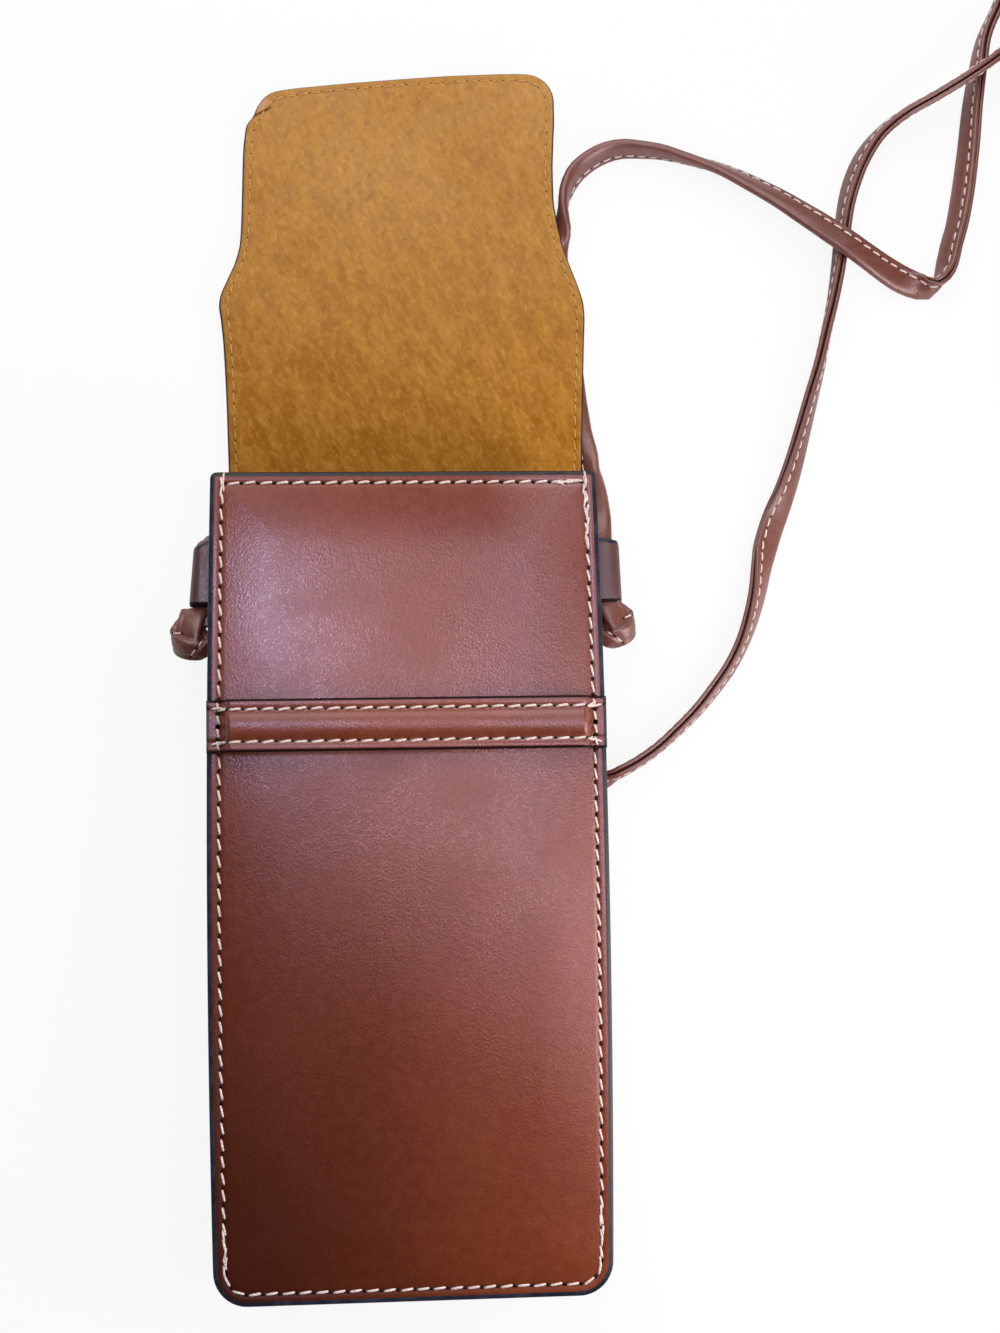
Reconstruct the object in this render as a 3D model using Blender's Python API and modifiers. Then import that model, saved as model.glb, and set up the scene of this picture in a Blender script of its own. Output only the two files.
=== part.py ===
"""Slim leather sunglasses case with a tuck-in flap, a keeper band and a knotted carrying strap.

The case lies on its back, flap open. Metres, +Z up, +Y from the case's foot to its mouth. The origin is the
middle of the lining's floor inside the case. The strap leaves the left loop, passes flat under the case, and is
gathered in a neat coil before it comes back to the right loop, so the case stands on the strap.
"""

import math

import bmesh
import bpy
import numpy as np
from mathutils import Euler, Matrix, Vector

MM = 0.001

# Leather, boards and lining
LEATHER = 1.2 * MM
BOARD = 0.8 * MM
LINING = 0.6 * MM
GAP = 0.3 * MM
THREAD_RADIUS = 0.25 * MM
GROOVE_RADIUS = 0.45 * MM

# The case's body
CASE_LENGTH = 182.0 * MM
CASE_DEPTH = 24.0 * MM
PANEL_MID_WIDTH = 88.8 * MM
PANEL_END_WIDTH = 86.5 * MM
PANEL_FOOT_RADIUS = 7.5 * MM
PANEL_MOUTH_RADIUS = 1.5 * MM
SEAM_INSET = 2.7 * MM
GUSSET_SET_IN = 4.75 * MM
GUSSET_FLANGE = 4.4 * MM
GUSSET_CORNER_RADIUS = 2.0 * MM

# Keeper band across the front
BAND_FROM_MOUTH = 57.0 * MM
BAND_WIDTH = 11.6 * MM
BAND_ROW_SPACING = 7.2 * MM
BAND_OVERHANG = 0.3 * MM
BAND_FOOT = 3.1 * MM
BAND_RAMP = 3.4 * MM
BAND_TOP_BEND = 0.56 * MM
BAND_FOOT_BEND = 1.15 * MM
BAND_BACKING = 0.8 * MM
BAND_CROWN = 0.8 * MM

# Flap and the spine that carries it round the mouth
FLAP_ROOM = 1.0 * MM
FLAP_LENGTH = 75.4 * MM
FLAP_FOLD_WIDTH = 84.6 * MM
FLAP_EAR_WIDTH = 86.8 * MM
FLAP_TONGUE_WIDTH = 74.4 * MM
FLAP_TIP_WIDTH = 73.6 * MM
FLAP_EAR_AT = 21.5 * MM
FLAP_NECK_AT = 43.0 * MM
FLAP_TIP_RADIUS = 6.5 * MM
FLAP_SEAM_INSET = 1.9 * MM

# Strap, its loops and its knots
STRAP_WIDTH = 6.0 * MM
STRAP_THICKNESS = 2.5 * MM
LOOP_FROM_MOUTH = 21.7 * MM
LOOP_LENGTH = 14.8 * MM
LOOP_STAND_OFF = 1.8 * MM
LOOP_TAB = 3.6 * MM
STRAP_IN_LOOP = 3.0 * MM
KNOT_SIZE = (10.4 * MM, 10.4 * MM, 9.4 * MM)
KNOT_OFFSET = 2.2 * MM
KNOT_BEVEL = 2.6 * MM
KNOT_TURN = (14.0, 12.0, 24.0)

# Coil of the strap's spare length
COIL_CENTRE = (181.1 * MM, 256.6 * MM)
COIL_RADIUS = 33.0 * MM
COIL_START_DEGREES = -60.0
COIL_TURNS = 8.0 / 3.0
COIL_CLEARANCE = 0.5 * MM
COIL_POINTS_A_TURN = 24
TIE_TURN = 0.83
TIE_RADIUS = 0.5 * MM
TIE_SPREAD = 0.06

# Values that follow
CASE_TOP = CASE_LENGTH / 2
CASE_FOOT = -CASE_LENGTH / 2
BAND_CENTRE_Y = CASE_TOP - BAND_FROM_MOUTH
LOOP_CENTRE_Y = CASE_TOP - LOOP_FROM_MOUTH
BACK = -(LEATHER + BOARD + LINING + 2 * GAP)
FRONT = BACK + CASE_DEPTH
TABLE = BACK - GAP - STRAP_THICKNESS
FLAP_STACK = LEATHER + GAP + LINING
FOLD_HEIGHT = BACK + FLAP_STACK
SPINE_LENGTH = CASE_DEPTH + FLAP_ROOM - FLAP_STACK
MOUTH_FOLD_Y = CASE_TOP + GAP / 2
FLAP_FOLD_Y = MOUTH_FOLD_Y + SPINE_LENGTH
GUSSET_WALL_X = PANEL_END_WIDTH / 2 - GUSSET_SET_IN
GUSSET_WALL_Y = CASE_FOOT + GUSSET_SET_IN
BAND_UNDERSIDE = FRONT + FLAP_ROOM + FLAP_STACK + 2 * GAP
LOOP_Z = BACK + CASE_DEPTH / 2
LOOP_X = PANEL_END_WIDTH / 2 + LOOP_STAND_OFF
LOOP_TOP = LOOP_CENTRE_Y + LOOP_LENGTH / 2
LOOP_FOOT = LOOP_CENTRE_Y - LOOP_LENGTH / 2
SMALL_STEP = 0.01 * MM

CREAM = (0.86, 0.79, 0.68)
BROWN = (0.20, 0.075, 0.045)
EDGE_BROWN = (0.12, 0.05, 0.035)
SUEDE = (0.42, 0.22, 0.06)
BOARD_GREY = (0.45, 0.42, 0.38)


def clear_scene():
    for obj in list(bpy.data.objects):
        bpy.data.objects.remove(obj)


def new_collection(name):
    collection = bpy.data.collections.new(name)
    bpy.context.scene.collection.children.link(collection)
    return collection


def new_material(name, colour, roughness):
    material = bpy.data.materials.new(name)
    material.use_nodes = True
    shader = material.node_tree.nodes["Principled BSDF"]
    shader.inputs["Base Color"].default_value = (*colour, 1.0)
    shader.inputs["Roughness"].default_value = roughness
    shader.inputs["Metallic"].default_value = 0.0
    return material


clear_scene()
PARTS = new_collection("sunglasses_case")
CUTTERS = new_collection("cutters_and_guides")
LEATHER_MATERIAL = new_material("brown_leather", BROWN, 0.45)
STRAP_MATERIAL = new_material("strap_leather", EDGE_BROWN, 0.45)
SUEDE_MATERIAL = new_material("mustard_suede", SUEDE, 0.95)
BOARD_MATERIAL = new_material("stiffener_board", BOARD_GREY, 0.9)
THREAD_MATERIAL = new_material("cream_thread", CREAM, 0.8)


# Building blocks


def add_curve(name, points, material, closed=False, flat=False, collection=PARTS):
    """A polyline curve object through points; flat points are (x, y) pairs in the object's own plane."""
    curve = bpy.data.curves.new(name, "CURVE")
    curve.dimensions = "2D" if flat else "3D"
    curve.twist_mode = "Z_UP"
    spline = curve.splines.new("POLY")
    spline.points.add(len(points) - 1)
    for target, point in zip(spline.points, points):
        xyz = (point[0], point[1], 0.0) if flat else tuple(point)
        target.co = (*xyz, 1.0)
    spline.use_cyclic_u = closed
    obj = bpy.data.objects.new(name, curve)
    collection.objects.link(obj)
    curve.materials.append(material)
    return obj


def as_guide(obj):
    obj.hide_render = True
    obj.display_type = "WIRE"
    return obj


def to_mesh(obj):
    """The same object as a welded mesh, so that it can be cut or joined."""
    bpy.context.view_layer.update()
    mesh = bpy.data.meshes.new_from_object(obj.evaluated_get(bpy.context.evaluated_depsgraph_get()))
    collection = obj.users_collection[0]
    name = obj.name
    solid = bpy.data.objects.new(name + "_mesh", mesh)
    solid.matrix_world = obj.matrix_world.copy()
    bpy.data.objects.remove(obj)
    solid.name = name
    collection.objects.link(solid)
    body = bmesh.new()
    body.from_mesh(mesh)
    bmesh.ops.remove_doubles(body, verts=body.verts, dist=0.001 * MM)
    bmesh.ops.recalc_face_normals(body, faces=body.faces)
    body.to_mesh(mesh)
    body.free()
    return solid


def plate(name, outline, bottom, top, material):
    """A flat sheet cut to an outline, between two heights."""
    obj = add_curve(name, outline, material, closed=True, flat=True)
    obj.data.fill_mode = "BOTH"
    obj.data.extrude = (top - bottom) / 2
    obj.location.z = (top + bottom) / 2
    return to_mesh(obj)


def tube(name, points, radius, material, closed=False, collection=PARTS):
    obj = add_curve(name, points, material, closed=closed, collection=collection)
    obj.data.bevel_depth = radius
    obj.data.bevel_resolution = 1
    obj.data.use_fill_caps = True
    return obj


def cut(target, cutter):
    modifier = target.modifiers.new("cut_" + cutter.name, "BOOLEAN")
    modifier.operation = "DIFFERENCE"
    modifier.object = cutter


def sewn_seam(name, target, points, overrun=0.0):
    """A run of thread that lies in its own groove in the target sheet; the groove may run on past its ends."""
    tube(name, points, THREAD_RADIUS, THREAD_MATERIAL)
    first = Vector(points[0])
    last = Vector(points[-1])
    ahead = (last - Vector(points[-2])).normalized() * (overrun + GAP)
    behind = (first - Vector(points[1])).normalized() * (overrun + GAP)
    route = [first + behind, *points[1:-1], last + ahead]
    groove = tube(name + "_groove", route, GROOVE_RADIUS, THREAD_MATERIAL, collection=CUTTERS)
    cut(target, as_guide(to_mesh(groove)))


def ribbon(name, points, width, thickness, material, turned=False):
    """A strip of sheet stood on edge along flat points; turned, the points are (x, z) and the width lies along Y."""
    obj = add_curve(name, points, material, flat=True)
    obj.data.extrude = width / 2
    obj.data.fill_mode = "NONE"
    if turned:
        obj.rotation_euler = (math.radians(90), 0, 0)
    solidify = obj.modifiers.new("thickness", "SOLIDIFY")
    solidify.thickness = thickness
    solidify.offset = 0
    solidify.use_even_offset = True
    return obj


def swept(name, points, section, material, turned=False):
    """A closed section swept along flat points; the section's first axis points to the right of travel."""
    guide = add_curve(name + "_section", section, material, closed=True, flat=True, collection=CUTTERS)
    guide.data.fill_mode = "NONE"
    obj = add_curve(name, points, material, flat=True)
    obj.data.fill_mode = "NONE"
    obj.data.bevel_mode = "OBJECT"
    obj.data.bevel_object = as_guide(guide)
    obj.data.use_fill_caps = True
    if turned:
        obj.rotation_euler = (math.radians(90), 0, 0)
    return to_mesh(obj)


def arc(centre, radius, start, end, steps):
    """Points along an arc between two angles in degrees, both ends included."""
    angles = [math.radians(start + (end - start) * i / steps) for i in range(steps + 1)]
    return [(centre[0] + radius * math.cos(a), centre[1] + radius * math.sin(a)) for a in angles]


def mirrored(right_side):
    """A closed outline from its right side, listed from foot to top."""
    return [*right_side, *[(-x, y) for x, y in reversed(right_side)]]


# The body's panels


def panel_half_width(y):
    bow = 1 - (y / CASE_TOP) ** 2
    return (PANEL_END_WIDTH + (PANEL_MID_WIDTH - PANEL_END_WIDTH) * bow) / 2


def panel_side(inset, top):
    """The panel's right side from the foot's middle line out and up, moved in by inset."""
    radius = PANEL_FOOT_RADIUS - inset
    corner_y = CASE_FOOT + PANEL_FOOT_RADIUS
    corner_x = panel_half_width(corner_y) - PANEL_FOOT_RADIUS
    foot = arc((corner_x, corner_y), radius, -90, 0, 6)
    heights = np.linspace(corner_y, top, 8)[1:]
    return [*foot, *[(panel_half_width(y) - inset, y) for y in heights]]


def panel_outline():
    side = panel_side(0.0, CASE_TOP - PANEL_MOUTH_RADIUS)
    corner = (side[-1][0] - PANEL_MOUTH_RADIUS, side[-1][1])
    return mirrored([*side[:-1], *arc(corner, PANEL_MOUTH_RADIUS, 0, 90, 3)])


def seam_route(height):
    side = panel_side(SEAM_INSET, CASE_TOP - 2 * GAP)
    right = [(x, y, height) for x, y in side]
    left = [(-x, y, z) for x, y, z in right]
    return [*reversed(left), *right]


def inner_outline(margin):
    half_width = GUSSET_WALL_X - LEATHER - margin
    foot = GUSSET_WALL_Y + LEATHER + margin
    radius = GUSSET_CORNER_RADIUS - LEATHER / 2
    right = arc((half_width - radius, foot + radius), radius, -90, 0, 3)
    return mirrored([*right, (half_width, CASE_TOP - 2 * GAP)])


def make_panels():
    back = plate("back_panel", panel_outline(), BACK, BACK + LEATHER, LEATHER_MATERIAL)
    front = plate("front_panel", panel_outline(), FRONT - LEATHER, FRONT, LEATHER_MATERIAL)
    back_board = BACK + LEATHER + GAP
    back_lining = back_board + BOARD + GAP
    inside = inner_outline(LINING + 2 * GAP)
    plate("back_stiffener", inner_outline(GAP), back_board, back_board + BOARD, BOARD_MATERIAL)
    plate("back_lining", inside, back_lining, back_lining + LINING, SUEDE_MATERIAL)
    front_board = FRONT - LEATHER - GAP
    front_lining = front_board - BOARD - GAP
    plate("front_stiffener", inner_outline(GAP), front_board - BOARD, front_board, BOARD_MATERIAL)
    plate("front_lining", inside, front_lining - LINING, front_lining, SUEDE_MATERIAL)
    sewn_seam("front_seam_thread", front, seam_route(FRONT - THREAD_RADIUS), overrun=PANEL_MOUTH_RADIUS)
    sewn_seam("back_seam_thread", back, seam_route(BACK + THREAD_RADIUS), overrun=PANEL_MOUTH_RADIUS)
    mouth_half = PANEL_END_WIDTH / 2 - SEAM_INSET - 2 * GROOVE_RADIUS - GAP
    mouth_y = CASE_TOP - SEAM_INSET + GAP
    ends = [(x, mouth_y, FRONT - THREAD_RADIUS) for x in (-mouth_half, 0.0, mouth_half)]
    sewn_seam("mouth_seam_thread", front, ends)


def wall_route(inset):
    """The line of the gusset's wall round the foot, as (x, y), moved in by inset from the wall's outer face."""
    half_width = GUSSET_WALL_X - inset
    foot = GUSSET_WALL_Y + inset
    radius = GUSSET_CORNER_RADIUS + LEATHER / 2 - inset
    right = arc((half_width - radius, foot + radius), radius, -90, 0, 5)
    right.append((half_width, CASE_TOP - GAP))
    return [(-x, y) for x, y in reversed(right)] + right


def make_gusset():
    low = BACK + LEATHER + GAP
    high = FRONT - LEATHER - GAP
    half_wall = LEATHER / 2
    flange = half_wall + GUSSET_FLANGE
    section = [
        (-half_wall, low),
        (flange, low),
        (flange, low + LEATHER),
        (half_wall, low + LEATHER),
        (half_wall, high - LEATHER),
        (flange, high - LEATHER),
        (flange, high),
        (-half_wall, high),
    ]
    swept("gusset", wall_route(half_wall), section, LEATHER_MATERIAL)
    height = CASE_DEPTH - 2 * (LEATHER + BOARD + 2 * GAP)
    line = wall_route(LEATHER + GAP + LINING / 2)
    lining = ribbon("gusset_lining", line, height, LINING, SUEDE_MATERIAL)
    lining.location.z = BACK + CASE_DEPTH / 2


# The keeper band


def offset_route(points, distance):
    """A flat polyline moved to its left by an even distance, with mitred bends."""
    line = [Vector(point) for point in points]
    moved = []
    for index, point in enumerate(line):
        before = (point - line[index - 1]).normalized() if index else (line[1] - point).normalized()
        after = (line[index + 1] - point).normalized() if index < len(line) - 1 else before
        normal = (before + after).normalized().orthogonal()
        moved.append(tuple(point + normal * (distance / max(before.dot((before + after).normalized()), 0.5))))
    return moved


def band_route(height):
    """The band's line from left to right as (x, z), an even height above its own underside."""
    end = PANEL_MID_WIDTH / 2 + BAND_OVERHANG - GAP
    foot = end - BAND_FOOT
    top = foot - BAND_RAMP
    low = FRONT + GAP
    high = BAND_UNDERSIDE
    right = [(0.0, high), (top - BAND_TOP_BEND, high), (top + BAND_TOP_BEND, high - BAND_TOP_BEND / 2)]
    right += [(foot - BAND_FOOT_BEND, low + BAND_FOOT_BEND / 2), (foot + BAND_FOOT_BEND, low), (end, low)]
    return offset_route([(-x, z) for x, z in reversed(right[1:])] + right, height)


def band_section(thickness, crown):
    """Half notches for the two thread rows and a padded crown between them, as (outward, across)."""
    half = BAND_WIDTH / 2
    row = BAND_ROW_SPACING / 2
    notch = GROOVE_RADIUS
    profile = [(0.0, -half), (thickness, -half)]
    if crown:
        deep = thickness - 2 * THREAD_RADIUS - GAP / 2
        crest = row - notch - GAP
        profile += [(thickness, -row - notch), (deep, -row - notch / 2), (deep, -row + notch / 2)]
        profile += [(thickness, -row + notch), (thickness + crown * 0.7, -crest * 0.75)]
        profile += [(thickness + crown, -crest * 0.35), (thickness + crown, crest * 0.35)]
        profile += [(thickness + crown * 0.7, crest * 0.75), (thickness, row - notch)]
        profile += [(deep, row - notch / 2), (deep, row + notch / 2), (thickness, row + notch)]
    profile += [(thickness, half), (0.0, half)]
    return profile


def make_band():
    face_height = BAND_BACKING + GAP
    pieces = (
        ("keeper_band_backing", 0.0, band_section(BAND_BACKING, 0.0)),
        ("keeper_band_face", face_height, band_section(LEATHER, BAND_CROWN)),
    )
    for name, height, section in pieces:
        leftward = list(reversed(band_route(height)))
        piece = swept(name, leftward, section, LEATHER_MATERIAL, turned=True)
        piece.location.y = BAND_CENTRE_Y
    thread_height = face_height + LEATHER - THREAD_RADIUS
    for name, side in (("band_upper_thread", 1), ("band_lower_thread", -1)):
        y = BAND_CENTRE_Y + side * BAND_ROW_SPACING / 2
        tube(name, [(x, y, z) for x, z in band_route(thread_height)], THREAD_RADIUS, THREAD_MATERIAL)


# The flap and its spine


def flap_half_width(distance):
    """Half the flap's width at a distance from its fold: out to the ears, then in to the tongue."""
    if distance <= FLAP_EAR_AT:
        share = distance / FLAP_EAR_AT
        return (FLAP_FOLD_WIDTH + (FLAP_EAR_WIDTH - FLAP_FOLD_WIDTH) * share**2) / 2
    if distance <= FLAP_NECK_AT:
        share = (distance - FLAP_EAR_AT) / (FLAP_NECK_AT - FLAP_EAR_AT)
        ease = (1 - math.cos(math.pi * share)) / 2
        return (FLAP_EAR_WIDTH + (FLAP_TONGUE_WIDTH - FLAP_EAR_WIDTH) * ease) / 2
    share = (distance - FLAP_NECK_AT) / (FLAP_LENGTH - FLAP_NECK_AT)
    return (FLAP_TONGUE_WIDTH + (FLAP_TIP_WIDTH - FLAP_TONGUE_WIDTH) * share) / 2


def flap_side(inset, start):
    """The flap's right side from its fold to the tip, moved in by inset."""
    radius = FLAP_TIP_RADIUS - inset
    corner = FLAP_LENGTH - FLAP_TIP_RADIUS
    ease = [FLAP_EAR_AT + (FLAP_NECK_AT - FLAP_EAR_AT) * i / 8 for i in range(9)]
    stations = [start, FLAP_EAR_AT * 0.5, FLAP_EAR_AT * 0.8, *ease, corner]
    side = [(flap_half_width(d) - inset, FLAP_FOLD_Y + d) for d in stations]
    centre = (flap_half_width(corner) - inset - radius, FLAP_FOLD_Y + corner)
    return side + arc(centre, radius, 0, 90, 5)[1:]


def make_flap():
    spine_half = FLAP_FOLD_WIDTH / 2
    spine = [(spine_half, MOUTH_FOLD_Y + GAP / 2), (spine_half, FLAP_FOLD_Y - GAP / 2)]
    flap = mirrored(flap_side(0.0, GAP / 2))
    skin_top = BACK + LEATHER
    thread_z = BACK + THREAD_RADIUS
    spine_shell = plate("flap_spine", mirrored(spine), BACK, skin_top, LEATHER_MATERIAL)
    plate("flap_spine_lining", mirrored(spine), skin_top + GAP, FOLD_HEIGHT, SUEDE_MATERIAL)
    shell = plate("flap_shell", flap, BACK, skin_top, LEATHER_MATERIAL)
    plate("flap_lining", flap, skin_top + GAP, FOLD_HEIGHT, SUEDE_MATERIAL)
    right = [(x, y, thread_z) for x, y in flap_side(FLAP_SEAM_INSET, 2 * GAP)]
    left = [(-x, y, z) for x, y, z in right]
    sewn_seam("flap_seam_thread", shell, [*left, *reversed(right)], overrun=GAP)
    for name, side in (("left_spine_thread", -1), ("right_spine_thread", 1)):
        x = side * (spine_half - FLAP_SEAM_INSET)
        start = MOUTH_FOLD_Y + 2 * GAP
        end = FLAP_FOLD_Y - 2 * GAP
        heights = (start, (start + end) / 2, end)
        sewn_seam(name, spine_shell, [(x, y, thread_z) for y in heights], overrun=GAP)


def hang(children, parent):
    for child in children:
        child.parent = parent
        child.matrix_parent_inverse = parent.matrix_world.inverted()


def fold_axis(name, y, pieces):
    """An empty on a fold's axis, which carries the pieces that turn about it."""
    axis = bpy.data.objects.new(name, None)
    PARTS.objects.link(axis)
    axis.location = (0, y, FOLD_HEIGHT)
    bpy.context.view_layer.update()
    hang([bpy.data.objects[piece] for piece in pieces], axis)
    return axis


def hang_flap():
    spine = ("flap_spine", "flap_spine_lining", "left_spine_thread", "right_spine_thread")
    mouth_axis = fold_axis("mouth_fold_axis", MOUTH_FOLD_Y, spine)
    flap_axis = fold_axis("flap_fold_axis", FLAP_FOLD_Y, ("flap_shell", "flap_lining", "flap_seam_thread"))
    hang([flap_axis], mouth_axis)


# Strap loops and knots


def make_loop(name, side):
    """A keeper that wraps the strap and is sewn by two tabs to the gusset's wall."""
    half_wall = LEATHER / 2
    tab_x = GUSSET_WALL_X + GAP + half_wall
    reach = STRAP_THICKNESS / 2 + GAP + half_wall
    end_x = LOOP_X + (STRAP_WIDTH - STRAP_THICKNESS) / 2
    low = LOOP_Z - reach
    high = LOOP_Z + reach
    root = tab_x + half_wall
    route = [(tab_x, low - LOOP_TAB), (tab_x, low - half_wall), (root, low)]
    route += arc((end_x, LOOP_Z), reach, -90, 90, 6)
    route += [(root, high), (tab_x, high + half_wall), (tab_x, high + LOOP_TAB)]
    loop = ribbon(name, [(side * x, z) for x, z in route], LOOP_LENGTH, LEATHER, LEATHER_MATERIAL, turned=True)
    loop.location.y = LOOP_CENTRE_Y


def make_knot(name, side):
    """A knot under the loop with the stub of strap that it holds in the loop, as one solid."""
    half = [size / 2 for size in KNOT_SIZE]
    body = bmesh.new()
    bmesh.ops.create_cube(body, size=1.0)
    bmesh.ops.scale(body, vec=KNOT_SIZE, verts=body.verts)
    bmesh.ops.bevel(body, geom=body.edges[:], offset=KNOT_BEVEL, segments=2, affect="EDGES", profile=0.6)
    turn = Euler([math.radians(a) for a in KNOT_TURN]).to_matrix().to_4x4()
    mirror = Matrix.Scale(side, 4, (1, 0, 0))
    bmesh.ops.transform(body, matrix=mirror @ turn, verts=body.verts)
    bmesh.ops.recalc_face_normals(body, faces=body.faces)
    top = max(v.co.y for v in body.verts)
    mesh = bpy.data.meshes.new(name)
    body.to_mesh(mesh)
    body.free()
    mesh.materials.append(STRAP_MATERIAL)
    knot = bpy.data.objects.new(name, mesh)
    PARTS.objects.link(knot)
    knot.location = (side * (LOOP_X + KNOT_OFFSET), LOOP_FOOT - GAP - top, LOOP_Z)
    low = knot.location.y + half[1] / 2
    high = LOOP_TOP - STRAP_IN_LOOP - GAP
    stub_points = [(side * LOOP_X, y, LOOP_Z) for y in (low, (low + high) / 2, high)]
    stub = strap_solid(name + "_stub", [(Vector(p), Vector((1, 0, 0))) for p in stub_points], CUTTERS)
    join = knot.modifiers.new("stub", "BOOLEAN")
    join.operation = "UNION"
    join.object = as_guide(to_mesh(stub))


# The strap's route. Each point is its middle line with the direction from the folded edge to the sewn edge.


def direction_at(points, index):
    before = points[max(index - 1, 0)]
    after = points[min(index + 1, len(points) - 1)]
    return (after - before).normalized()


def across_from_tilt(along, tilt):
    """The sewn edge's direction: 0 is up, 90 is to the right of travel, 180 is down."""
    up = Vector((0, 0, 1)) - along * along.z
    up.normalize()
    return up * math.cos(math.radians(tilt)) + along.cross(up) * math.sin(math.radians(tilt))


def tilt_from_across(along, across):
    up = Vector((0, 0, 1)) - along * along.z
    up.normalize()
    return math.atan2(across.dot(along.cross(up)), across.dot(up))


def on_table(x, y, tilt, lift=0.0):
    """A point of strap that lies on the table, or lift above it, turned by tilt degrees."""
    core = (STRAP_WIDTH - STRAP_THICKNESS) / 2
    rise = STRAP_THICKNESS / 2 + core * abs(math.cos(math.radians(tilt)))
    return (Vector((x * MM, y * MM, TABLE + lift * MM + rise)), tilt)


def in_air(x, y, z, across):
    return (Vector((x * MM, y * MM, z * MM)), Vector(across).normalized())


def slopes(values, places, level):
    """Slopes of a smooth curve through values at places; level ones never swing past the values they join."""
    steps = np.diff(places)
    rates = np.diff(values) / steps
    before, after = rates[:-1], rates[1:]
    if level:
        same = before * after > 0
        total = np.where(same, before + after, 1.0)
        middle = np.where(same, 2 * before * after / total, 0.0)
    else:
        middle = (before * steps[1:] + after * steps[:-1]) / (steps[1:] + steps[:-1])
    return np.concatenate([rates[:1], middle, rates[-1:]])


def smooth_column(values, places, targets, level):
    index = np.clip(np.searchsorted(places, targets, side="right") - 1, 0, len(places) - 2)
    step = places[index + 1] - places[index]
    t = (targets - places[index]) / step
    slope = slopes(values, places, level)
    start = (1 + 2 * t) * (1 - t) ** 2 * values[index] + t * (1 - t) ** 2 * step * slope[index]
    end = t**2 * (3 - 2 * t) * values[index + 1] - t**2 * (1 - t) * step * slope[index + 1]
    return start + end


def smooth_strap(rows, steps_from_length):
    """A smooth curve through the rows, sampled at chosen lengths, as (point, across) pairs."""
    points = [row[0] for row in rows]
    sides = []
    for index, (_, turn) in enumerate(rows):
        if isinstance(turn, Vector):
            sides.append(turn)
        else:
            sides.append(across_from_tilt(direction_at(points, index), turn))
    chords = [(b - a).length for a, b in zip(points, points[1:])]
    places = np.concatenate([[0.0], np.cumsum(chords)])
    targets = np.array(steps_from_length(places[-1]))
    columns = [smooth_column(np.array([p[i] for p in points]), places, targets, i == 2) for i in range(3)]
    line = [Vector(point) for point in zip(*columns)]
    columns = [smooth_column(np.array([side[i] for side in sides]), places, targets, True) for i in range(3)]
    squared = []
    for index, across in enumerate(Vector(side) for side in zip(*columns)):
        along = direction_at(line, index)
        squared.append((line[index], (across - along * across.dot(along)).normalized()))
    return squared


def strap_solid(name, route, collection=PARTS):
    """A flat strap with rounded edges along (point, across) pairs."""
    points = [point for point, _ in route]
    obj = add_curve(name, points, STRAP_MATERIAL, collection=collection)
    obj.data.extrude = (STRAP_WIDTH - STRAP_THICKNESS) / 2
    obj.data.bevel_depth = STRAP_THICKNESS / 2
    obj.data.bevel_resolution = 1
    obj.data.use_fill_caps = True
    for index, (_, across) in enumerate(route):
        bend = bisector(points, index)
        obj.data.splines[0].points[index].tilt = tilt_from_across(bend, across)
    return obj


def bisector(points, index):
    """The direction that a polyline's section is square to at one of its points."""
    if index == 0:
        return (points[1] - points[0]).normalized()
    if index == len(points) - 1:
        return (points[-1] - points[-2]).normalized()
    before = (points[index] - points[index - 1]).normalized()
    after = (points[index + 1] - points[index]).normalized()
    return (before + after).normalized()


def run_steps(fine_length, fine_step, step):
    """Close steps over the first stretch of a run, wide ones after it."""

    def steps(total):
        close = list(np.arange(0.0, fine_length, fine_step))
        count = max(int(round((total - fine_length) / step)), 2)
        return close + list(np.linspace(fine_length, total, count + 1))

    return steps


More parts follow.
